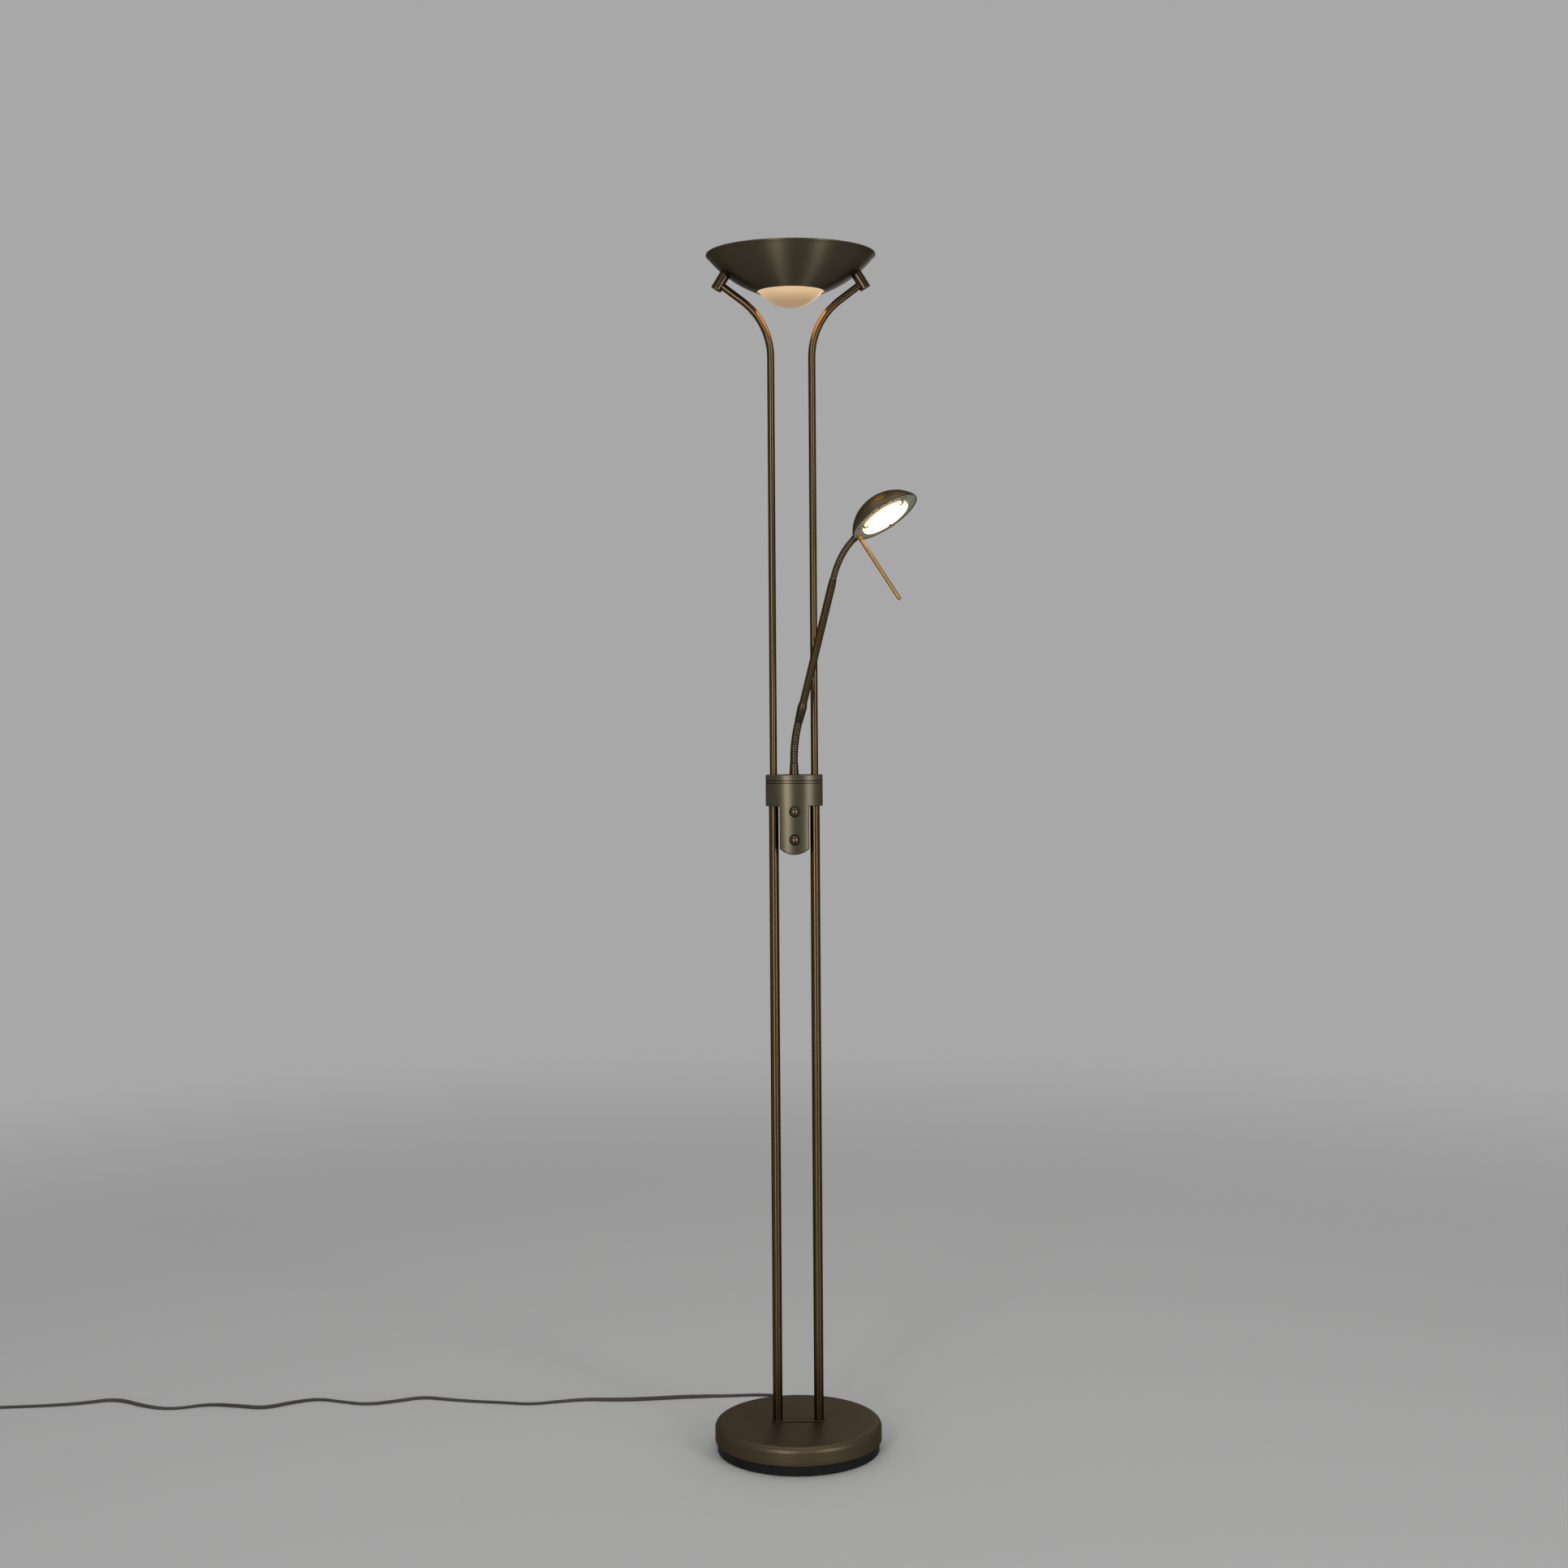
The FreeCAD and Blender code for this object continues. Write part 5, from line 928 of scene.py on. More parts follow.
    def __post_init__(self) -> None:
        """Work out the coil's axes from the loose cord's end."""
        last = Vector(self.route[-1])
        self.along = (last - Vector(self.route[-2])).normalized()
        self.side = Vector((self.along.y, -self.along.x, 0.0))
        self.centre = last / MM + self.side * self.coil_radius
        self.centre.z = 0.0

    def coil_point(self, angle: float) -> Triple:
        """Point of the coil's winding at an angle in degrees, in metres."""
        for (start, radius, height), (end, next_radius, next_height) in zip(self.winding, self.winding[1:]):
            if angle <= end:
                share = (angle - start) / (end - start)
                radius += (next_radius - radius) * share
                height += (next_height - height) * share
                break
        # A quadratic spline runs inside the corners of its control points by this share.
        radius /= 0.75 + 0.25 * math.cos(2 * math.pi / self.points_per_turn)
        turn = math.radians(angle)
        spot = self.centre + (self.along * math.sin(turn) - self.side * math.cos(turn)) * radius
        return (spot.x * MM, spot.y * MM, height * MM)

    def line(self) -> list[Vector]:
        """Centre line of the whole cord, read from its spline, in metres."""
        coil = [self.coil_point(360.0 * step / self.points_per_turn)
                for step in range(1, round(self.turns * self.points_per_turn))]
        leave = self.centre + self.along * self.coil_radius
        leaving, arriving = self.tail_reach
        reaches = [*leaving, *(self.plug_reach + reach for reach in arriving)]
        tail = [leave + self.side * reach for reach in reaches]
        tail_height = self.plug_size[1] / 2 * MM
        points = list(self.route) + coil + [(spot.x * MM, spot.y * MM, tail_height) for spot in tail]
        curve = bpy.data.curves.new("cord_line", "CURVE")
        curve.dimensions = "3D"
        spline = curve.splines.new("NURBS")
        spline.points.add(len(points) - 1)
        for point, spot in zip(spline.points, points):
            point.co = (*spot, 1.0)
        spline.order_u = 3
        spline.use_endpoint_u = True
        spline.resolution_u = 8
        source = bpy.data.objects.new("cord_line", curve)
        bpy.context.scene.collection.objects.link(source)
        bpy.context.view_layer.update()
        evaluated = source.evaluated_get(bpy.context.evaluated_depsgraph_get())
        data = bpy.data.meshes.new_from_object(evaluated)
        line = [vertex.co.copy() for vertex in data.vertices]
        bpy.data.objects.remove(source)
        return line

    def twist(self, distance: float, whole: float) -> float:
        """Angle of the flat section about the cord's line at a distance along it, in radians."""
        run_out, before_coil, run_in = self.twist_reach
        loose = max(0.0, min(1.0, distance / run_out, (whole - distance - before_coil) / run_in))
        return loose * sum(amount * math.sin(distance * rate + start) for amount, rate, start in self.twist_waves)

    def cord(self) -> bpy.types.Object:
        """The cord itself, resting on the floor wherever it isn't on its own turns."""
        line = self.line()
        distances = [0.0]
        for before, after in zip(line, line[1:]):
            distances.append(distances[-1] + (after - before).length)
        turns = [self.twist(distance, distances[-1]) for distance in distances]
        half_width = self.width / 2
        half_thickness = self.thickness / 2
        for spot, turn, distance in zip(line, turns, distances):
            half_height = math.hypot(half_width * math.sin(turn), half_thickness * math.cos(turn))
            if spot.z < self.on_floor * MM and distance > self.settles_after:
                spot.z = (half_height + self.floor_gap) * MM

        def level(index: int) -> Vector:
            """Direction of the section's thickness at a point of the line."""
            after = line[min(index + 1, len(line) - 1)]
            before = line[max(index - 1, 0)]
            return Matrix.Rotation(turns[index], 3, (after - before).normalized()) @ UP

        section = []
        depth, breadth = self.waist
        for step in range(self.section_sides):
            angle = 2 * math.pi * step / self.section_sides
            waist = 1 - depth * math.exp(-((math.cos(angle) / breadth) ** 2))
            section.append((half_width * math.cos(angle) * MM, half_thickness * math.sin(angle) * waist * MM))
        made = Shape().swept(line, level, lambda index: section).outward().piece("power_cord_lead", RUBBER)
        self.path = line
        self.length = distances[-1]
        return made

    def relief(self) -> bpy.types.Object:
        """Ribbed and tapered strain relief behind the base."""
        shares = [step / self.relief_steps for step in range(self.relief_steps + 1)]
        line = [Vector((0.0, self.relief_start + self.relief_length * share,
                        self.relief_height - self.relief_fall * share)) for share in shares]
        return RibbedTube.along("strain_relief", line, self.relief_sizes, RUBBER)

    def relief_collar(self) -> bpy.types.Object:
        """Round shoulder of the strain relief in the tray's wall."""
        bore, radius, length = self.relief_bore, self.relief_collar_radius, self.relief_collar_length
        profile = [(bore, 0.0), (radius, 0.0)]
        profile += [(radius - inset, length - drop) for inset, drop in self.relief_shoulder] + [(bore, length)]
        start = Vector((0, self.relief_start + 0.5 - length, self.relief_height))
        return lathed("strain_relief_collar", RUBBER, profile, place(start, Vector((0, 1, 0))), 40, closed=True)

    def tie(self) -> bpy.types.Object:
        """Flat strap bent over the coil's turns."""
        half, corner = self.tie_half_span, self.tie_round
        arch = [(half, self.tie_foot), (half, self.tie_side)] + arc((half - corner, self.tie_top), corner, 0, 90, 6)
        arch += [(-out, height) for out, height in reversed(arch)]
        middle = self.centre + self.along * self.coil_radius
        line = [(middle + self.along * out + UP * height) * MM for out, height in arch]
        wide, thick = self.tie_half_width * MM, self.tie_half_thickness * MM
        strap = [(-wide, -thick), (wide, -thick), (wide, thick), (-wide, thick)]
        middle_line = (middle + UP * 3) * MM
        return Shape().swept(line, lambda index: line[index] - middle_line, lambda index: strap).outward().piece(
            "coil_tie", DIMMER_PLASTIC)

    def plug_place(self) -> Matrix:
        """Place of the plug: its own Y runs from the pins' face to the cord, X across and Z up."""
        back = self.centre + self.along * self.coil_radius + self.side * (self.plug_reach + self.plug_size[2])
        return place(back, UP, self.along)

    def plug_body(self) -> bpy.types.Object:
        """Moulded body with a waisted grip and the pins' sleeves."""
        line = [self.plug_place() @ Vector((0.0, spot, self.plug_size[1] / 2)) for spot, _, _ in self.plug_stations]

        def outline(index: int) -> list[tuple[float, float]]:
            """Rounded oblong of a station."""
            _, wide, high = self.plug_stations[index]
            pairs = []
            for step in range(self.plug_sides):
                angle = 2 * math.pi * step / self.plug_sides
                across = math.copysign(abs(math.cos(angle)) ** self.plug_fullness[0], math.cos(angle))
                upright = math.copysign(abs(math.sin(angle)) ** self.plug_fullness[1], math.sin(angle))
                pairs.append((across * wide / 2 * MM, upright * high / 2 * MM))
            return pairs

        shape = Shape().swept(line, lambda index: UP, outline)
        radius, end, sunk = self.pin_radius - self.pin_step, -self.pin_sleeve, self.pin_sunk
        self.add_pins(shape, [(0.0, sunk), (0.0, end), (radius - self.pin_step, end),
                              (radius, end + self.pin_step * 4), (radius, sunk)])
        return shape.outward().piece("plug_body", PLUG_PLASTIC)

    def add_pins(self, shape: Shape, profile: Profile) -> None:
        """Turn a profile about both pins' axes, with heights that fall away from the plug's face."""
        for spot in (-self.pin_spacing / 2, self.pin_spacing / 2):
            axis = Matrix.Translation((spot, 0, self.plug_size[1] / 2)) @ Matrix.Rotation(-math.pi / 2, 4, "X")
            shape.turned(profile, self.plug_place() @ axis, 32, False)

    def plug_pins(self) -> bpy.types.Object:
        """Metal ends of the two pins."""
        start, tip = -self.pin_sleeve, -self.pin_length
        round_end = arc((0.0, 0.0), self.pin_radius, 80.0, 0.0, 6)
        profile = [(0.0, start), (0.0, tip)] + [(out, tip + self.pin_radius - height) for out, height in round_end]
        shape = Shape()
        self.add_pins(shape, profile + [(self.pin_radius, start)])
        return shape.outward().piece("plug_pins", STEEL)

    def build(self) -> list[bpy.types.Object]:
        """Build the cord and everything on it."""
        cord = settle(self.cord(), STAND, "cord_rubber", "power_cord", "cord_coil")
        relief = settle(self.relief(), STAND, "cord_rubber", "cord_gland")
        collar = settle(self.relief_collar(), STAND, "cord_rubber")
        tie = settle(self.tie(), STAND, "black_plastic", "cord_tie")
        body = settle(self.plug_body(), STAND, "cord_rubber", "plug")
        pins = settle(self.plug_pins(), STAND, "brass")
        return [cord, relief, collar, tie, body, pins]


@dataclass
class Base(SubAssembly):
    """Spun cover with a broad rounded edge, and the posts' flange."""

    radius: float = 125.5
    height: float = 43.0
    edge_round: float = 9.0
    wall: float = 1.2
    bottom: float = 16.0
    ease: float = 0.4
    flange_bevel: float = 0.3
    # Radii of the rings that divide the flat top, and heights of those that divide the wall.
    top_rings: tuple[float, ...] = (112.0, 100.0, 80.0, 60.0, 40.0, 20.0, 0.0)
    wall_rings: tuple[float, float] = (6.0, 12.0)

    def cover(self) -> bpy.types.Object:
        """Cover with a closed wall and an eased lower edge."""
        inner = self.radius - self.wall
        round_middle = (self.radius - self.edge_round, self.height - self.edge_round)
        outer = arc((self.radius - self.ease, self.bottom + self.ease), self.ease, -90.0, 0.0, 4)
        outer += [(self.radius, self.bottom + rise) for rise in self.wall_rings]
        outer += arc(round_middle, self.edge_round, 0.0, 90.0, 20)
        outer += [(radius, self.height) for radius in self.top_rings]
        lining = [(radius, self.height - self.wall) for radius in (self.top_rings[-1], self.top_rings[3])]
        lining += arc(round_middle, self.edge_round - self.wall, 90.0, 0.0, 10)
        lining += [(inner, self.bottom + self.wall_rings[-1]), (inner, self.bottom)]
        return lathed("base_dome", BASE_BRONZE, outer + lining, place(Vector(), UP), sides=192, closed=True)

    def build(self) -> list[bpy.types.Object]:
        """Build the cover and the flange."""
        return [
            settle(self.cover(), STAND, "bronze", "base_cover"),
            # The flange's finish carries a painted highlight in its lighter colour.
            settle(refined("base_flange", "post_flange", EDGE_LIT_FLANGE_BRONZE, self.flange_bevel), STAND, "bronze",
                   "base_flange"),
        ]


@dataclass
class Bowl:
    """Curve of the uplight's bowl: a circular arc between its opening and its rim."""

    opening: float = 51.0
    bottom: float = 1743.5
    rim: float = 126.5
    rim_height: float = 1797.0
    curve: float = 170.0

    def __post_init__(self) -> None:
        """Work out the arc's middle from its two ends."""
        run = self.rim - self.opening
        rise = self.rim_height - self.bottom
        chord = math.hypot(run, rise)
        back = math.sqrt(self.curve ** 2 - chord ** 2 / 4)
        self.middle = ((self.rim + self.opening) / 2 - back * rise / chord,
                       (self.rim_height + self.bottom) / 2 + back * run / chord)

    def height(self, radius: float, inset: float = 0.0) -> float:
        """Height of the curve at a radius, moved inwards by an inset."""
        return self.middle[1] - math.sqrt((self.curve - inset) ** 2 - (radius - self.middle[0]) ** 2)


@dataclass
class Posts(SubAssembly):
    """Two thick lower tubes, two thin bent upper tubes and the bosses under the bowl."""

    offset: float = 31.0
    lower_radius: float = 7.2
    upper_radius: float = 5.45
    foot: float = 44.5
    joint: float = 992.0
    upper_start: float = 994.0
    bend_start: float = 1645.0
    bend_radius: float = 107.0
    bend_angle: float = 53.0
    boss_reach: float = 107.7
    boss_radius: float = 8.3
    boss_below: float = 10.08
    boss_tilt: float = 31.5
    boss_length: float = 20.0
    boss_sides: int = 56
    boss_sunk: float = 0.3
    halvings: int = 40
    # How far each point of an eased end lies in from the radius and up from the end.
    foot_ease: tuple[tuple[float, float], ...] = ((0.5, 0.0), (0.15, 0.15), (0.0, 0.5))
    boss_ease: tuple[tuple[float, float], ...] = ((0.7, 0.0), (0.2, 0.2), (0.0, 0.7), (0.0, 2.0))
    bend_steps: int = 28
    tube_sides: int = 48
    # Heights of the rings that divide the straight tubes.
    lower_rings: tuple[float, ...] = (200.0, 400.0, 600.0, 800.0)
    upper_rings: tuple[float, ...] = (1100.0, 1300.0, 1500.0)
    bowl: Bowl = field(default_factory=Bowl)

    def upper_line(self, side: int) -> list[Vector]:
        """Centre line of an upper tube, in millimetres."""
        line = [Vector((self.offset, 0, height)) for height in (self.upper_start, *self.upper_rings)]
        for step in range(self.bend_steps + 1):
            turn = math.radians(self.bend_angle * step / self.bend_steps)
            line.append(Vector((self.offset + self.bend_radius * (1 - math.cos(turn)), 0,
                                self.bend_start + self.bend_radius * math.sin(turn))))
        turn = math.radians(self.bend_angle)
        along = Vector((math.sin(turn), 0, math.cos(turn)))
        line.append(line[-1] + along * ((self.boss_reach - line[-1].x) / along.x))
        return [Vector((point.x * side, 0, point.z)) for point in line]

    def lower_tubes(self) -> bpy.types.Object:
        """Both thick tubes, with eased feet."""
        shape = Shape()
        radius = self.lower_radius
        profile = [(0.0, self.foot)]
        profile += [(radius - inset, self.foot + rise) for inset, rise in self.foot_ease]
        profile += [(radius, height) for height in (*self.lower_rings, self.joint)] + [(0.0, self.joint)]
        for side in (-1, 1):
            shape.turned(profile, place(Vector((side * self.offset, 0, 0)), UP), self.tube_sides, False)
        return shape.outward().piece("lower_tubes", TUBE_BRONZE)

    def upper_tubes(self) -> bpy.types.Object:
        """Both thin tubes with their outward bends."""
        shape = Shape()
        last, steps = 360.0 - 360.0 / self.tube_sides, self.tube_sides - 1
        ring = [(across * MM, deep * MM) for across, deep in arc((0, 0), self.upper_radius, 0, last, steps)]
        for side in (-1, 1):
            line = [point * MM for point in self.upper_line(side)]
            shape.swept(line, lambda index: Vector((0, 1, 0)), lambda index: ring)
        return shape.outward().piece("upper_tubes", UPPER_TUBE_BRONZE)

    def bosses(self) -> bpy.types.Object:
        """Short round bars between the tubes and the bowl, their tops on the bowl's curve."""
        shape = Shape()
        tilt = math.radians(self.boss_tilt)
        radius = self.boss_radius
        for side in (-1, 1):
            up = Vector((-side * math.sin(tilt), 0, math.cos(tilt)))
            bottom = self.upper_line(side)[-1] - up * self.boss_below
            where = place(bottom, up, Vector((side, 0, 0)))
            profile = [(0.0, 0.0)] + [(radius - inset, rise) for inset, rise in self.boss_ease]
            profile += [(radius, self.boss_length / 2), (radius, self.boss_length), (0.0, self.boss_length)]
            shape.turned(profile, where, self.boss_sides, False)
            for vertex in shape.mesh.verts[-self.boss_sides - 1:]:
                self.raise_to_bowl(vertex, up)
        return shape.outward().piece("post_bosses", BOSS_BRONZE)

    def raise_to_bowl(self, vertex: bmesh.types.BMVert, up: Vector) -> None:
        """Move a boss's top vertex along the boss's axis until it meets the bowl's outside."""
        low, high = -self.boss_length, self.boss_length * 1.5
        start = vertex.co / MM
        for _ in range(self.halvings):
            middle = (low + high) / 2
            spot = start + up * middle
            if spot.z < self.bowl.height(math.hypot(spot.x, spot.y), self.boss_sunk):
                low = middle
            else:
                high = middle
        vertex.co = (start + up * low) * MM

    def build(self) -> list[bpy.types.Object]:
        """Build all tubes and bosses."""
        return [
            settle(self.lower_tubes(), STAND, "bronze", "lower_posts"),
            settle(self.upper_tubes(), STAND, "bronze", "upper_posts"),
            settle(self.bosses(), STAND, "bronze", "bowl_bosses"),
        ]


@dataclass
class Uplight(SubAssembly):
    """Spun bowl with its rolled rim, and the frosted glass that hangs through it."""

    bowl: Bowl = field(default_factory=Bowl)
    wall: float = 1.0
    bead: float = 1.5
    dome_radius: float = 49.7
    dome_bottom: float = 1719.5
    dome_flange: float = 55.7
    dome_wall: float = 3.0
    dome_seat: float = 0.3
    dome_ease: float = 0.6
    shell_steps: int = 36
    lip_ease: float = 0.3
    lip_swell: float = 0.1
    bead_arc: tuple[float, float] = (-80.0, 190.0)

    def shell(self) -> bpy.types.Object:
        """Bowl with a closed wall, an eased opening and a rolled rim."""
        bowl = self.bowl
        steps = self.shell_steps
        radii = [bowl.opening + (bowl.rim - bowl.opening) * step / steps for step in range(steps + 1)]
        outer = [(radius, bowl.height(radius)) for radius in radii]
        rim = arc((bowl.rim, bowl.rim_height + self.bead), self.bead, *self.bead_arc, 18)
        inner = [(radius, bowl.height(radius, self.wall)) for radius in reversed(radii[1:-1])]
        eased = bowl.opening + self.lip_ease
        inner.append((eased, bowl.height(eased, self.wall)))
        inner.append((bowl.opening - self.lip_swell, bowl.height(bowl.opening, self.wall / 2)))
        return lathed("uplight_shell", BOWL_BRONZE, outer[:-1] + rim + inner, place(Vector(), UP), 192, True, 50.0)

    def dome(self) -> bpy.types.Object:
        """Frosted glass with its flange inside the bowl."""
        low = self.bowl.height(self.dome_flange, self.wall) + self.dome_seat
        high = low + self.dome_wall
        drop = low - self.dome_bottom
        curve = (self.dome_radius ** 2 + drop ** 2) / (2 * drop)
        middle = self.dome_bottom + curve
        sweep = math.degrees(math.asin(self.dome_radius / curve))
        inner = curve - self.dome_wall
        inner_sweep = math.degrees(math.acos((middle - high) / inner))
        profile = arc((0.0, middle), curve, -90.0, -90.0 + sweep, 32)
        profile[0] = (0.0, self.dome_bottom)
        edge, ease = self.dome_flange, self.dome_ease
        profile += [(edge - ease, low), (edge, low + ease), (edge, high - ease), (edge - ease, high)]
        profile += arc((0.0, middle), inner, -90.0 + inner_sweep, -90.0, 16)
        profile[-1] = (0.0, self.dome_bottom + self.dome_wall)
        return lathed("dome_glass", DOME_GLASS, profile, place(Vector(), UP), 128)

    def build(self) -> list[bpy.types.Object]:
        """Build the bowl and its glass."""
        return [
            settle(self.shell(), STAND, "bronze", "uplight_bowl"),
            settle(self.dome(), STAND, "frosted_glass", "glass_dome"),
        ]


@dataclass
class Housing(SubAssembly):
    """Switch housing between the posts and the reading arm's collar."""

    top: float = 1016.0
    neck_offset: float = -6.5
    collar_height: float = 17.5
    collar_bottom: float = 7.2
    collar_top: float = 6.05
    # Steps of the collar's foot and lip off its radius and end, and shares of its height with a ring.
    collar_foot: tuple[tuple[float, float], ...] = ((0.0, 0.0), (0.05, 0.4), (-0.05, 1.6))
    collar_lip: tuple[tuple[float, float], ...] = ((0.02, 0.5), (0.3, 0.0))
    collar_rings: tuple[float, ...] = (0.3, 0.6, 0.9)
    groove_drops: tuple[float, ...] = (8.6, 12.8)

    def collar(self) -> bpy.types.Object:
        """Tapered collar with an eased foot and a thin upper lip."""
        bottom, top, height = self.collar_bottom, self.collar_top, self.collar_height
        profile = [(0.0, 0.0)] + [(bottom + swell, rise) for swell, rise in self.collar_foot]
        profile += [(bottom + (top - bottom) * share, height * share) for share in self.collar_rings]
        profile += [(top - inset, height - drop) for inset, drop in self.collar_lip] + [(0.0, height)]
        finish = replace(TURNED_BRONZE, name="bronze_collar", axis=Axis((0.0, self.neck_offset, 0.0)))
        return lathed("arm_collar", finish, profile, place(Vector((0, self.neck_offset, self.top)), UP), 56)

    def build(self) -> list[bpy.types.Object]:
        """Refine both halves and build the collar."""
        # The housing's finish, with painted shade in its two grooves below the top.
        satin = replace(HOUSING_BRONZE, grooves=tuple(self.top - drop for drop in self.groove_drops))
        return [
            settle(refined("housing_front", "switch_housing_front", satin, 0.0), STAND, "bronze", "housing_front"),
            settle(refined("housing_back", "switch_housing_back", satin, 0.0), STAND, "bronze", "housing_back"),
            settle(self.collar(), STAND, "bronze", "neck_collar"),
        ]


@dataclass
class Knob(SubAssembly):
    """Domed dimmer knob with a fine groove above its skirt."""

    purpose: str
    height: float
    radius: float = 8.15
    back: float = -20.6
    skirt: float = 2.5
    dome: float = 6.0
    dome_inset: float = 0.35
    ease: float = 0.3
    # Radius and depth of the shaft's hole and of the hollow round it.
    bore: tuple[float, float] = (3.1, 5.6)
    recess: tuple[float, float] = (6.3, 1.4)

    def build(self) -> list[bpy.types.Object]:
        """Build the knob on its own body."""
        curve = (self.radius ** 2 + self.dome ** 2) / (2 * self.dome)
        front = self.skirt + self.dome
        sweep = math.degrees(math.asin((self.radius - self.dome_inset) / curve))
        radius, ease, bore, recess = self.radius, self.ease, self.bore, self.recess
        profile = [(0.0, bore[1]), bore, (bore[0], recess[1]), recess, (recess[0], 0.0), (radius - ease, 0.0),
                   (radius, ease), (radius, self.skirt - ease), (radius - ease * 0.4, self.skirt)]
        profile += arc((0.0, front - curve), curve, 90.0 - sweep, 90.0, 20)
        profile[-1] = (0.0, front)
        where = place(Vector((0, self.back, self.height)), Vector((0, -1, 0)))
        finish = replace(KNOB_BRONZE, name="bronze_knob_" + self.purpose,
                         axis=Axis((0.0, self.back, self.height), (0.0, -1.0, 0.0)))
        made = lathed(self.purpose + "_knob", finish, profile, where, 72)
        return [settle(made, self.purpose + "_dimmer_knob", "bronze", "knob_" + self.purpose)]


class Neck(Enum):
    """Which of the reading arm's two bending necks."""

    LOWER = "lower"
    UPPER = "upper"


@dataclass
class Gooseneck(SubAssembly):
    """Corrugated neck: one bending piece over each hinge, from mid-link to mid-link."""

    which: Neck
    start: Vector
    lean_from: tuple[float, float]
    lean_to: tuple[float, float]
    shares: tuple[float, ...]
    radius: float
    pitch: float
    groove: float
    before: str
    after: str
    end_ribs: int = 3
    link_ribs: int = 4
    roundness: float = 2.4
    blend_share: float = 0.9

    def __post_init__(self) -> None:
        """Work out the hinge points, the links' directions and the names of bodies and nodes."""
        links = range(1, len(self.shares))
        self.bodies = [self.before, *[f"{self.which.value}_link_{link}" for link in links], self.after]
        self.nodes = [f"{self.which.value}_neck_link_{link}" for link in links]
        counts = [self.end_ribs, *[self.link_ribs for _ in links], self.end_ribs]
        self.points = [Vector(self.start)]
        for share, count in zip((0.0,) + self.shares, counts):
            along = lean(self.lean_from[0] + share * (self.lean_to[0] - self.lean_from[0]),
                         self.lean_from[1] + share * (self.lean_to[1] - self.lean_from[1]))
            self.points.append(self.points[-1] + along * (count * self.pitch))

    @property
    def end(self) -> Vector:
        """Last point of the centre line, in millimetres."""
        return self.points[-1]

    def build(self) -> list[bpy.types.Object]:
        """Build one bending piece over each hinge."""
        made = []
        hinges = range(1, len(self.points) - 1)
        name = self.which.value + "_neck"
        finish = replace(NECK_BRONZE, name="bronze_" + name)
        for hinge in hinges:
            first = hinge == 1
            last = hinge == hinges[-1]
            before = self.points[0] if first else (self.points[hinge - 1] + self.points[hinge]) / 2
            after = self.points[-1] if last else (self.points[hinge] + self.points[hinge + 1]) / 2
            low_ribs = self.end_ribs if first else self.link_ribs / 2
            high_ribs = self.end_ribs if last else self.link_ribs / 2
            line = self.bent(before, self.points[hinge], after)
            sizes = (self.radius, self.radius, self.groove, low_ribs + high_ribs, self.roundness)
            piece = RibbedTube.along(f"{name}_flex_{hinge}", line, sizes, finish)
            reach = self.pitch * self.link_ribs / 2 * self.blend_share
            toward = (before - self.points[hinge]).normalized() * reach
            beyond = (after - self.points[hinge]).normalized() * reach
            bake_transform(piece, self.bodies[hinge - 1], self.bodies[hinge], (self.points[hinge] + toward) * MM,
                     (self.points[hinge] + beyond) * MM)
            if hinge <= len(self.nodes):
                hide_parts(self.nodes[hinge - 1])
            made.append(piece)
        return made

    @staticmethod
    def bent(before: Vector, corner: Vector, after: Vector, steps: int = 24) -> list[Vector]:
        """Curve in steps from one point to another that leaves towards a corner and arrives from it."""
        shorter = min((before - corner).length, (after - corner).length)
        start = corner + (before - corner).normalized() * shorter
        end = corner + (after - corner).normalized() * shorter
        curve = []
        for step in range(steps + 1):
            share = step / steps
            curve.append(start * (1 - share) ** 2 + corner * (2 * share * (1 - share)) + end * share ** 2)
        if (before - start).length > TINY:
            curve.insert(0, before)
        if (after - end).length > TINY:
            curve.append(after)
        return curve


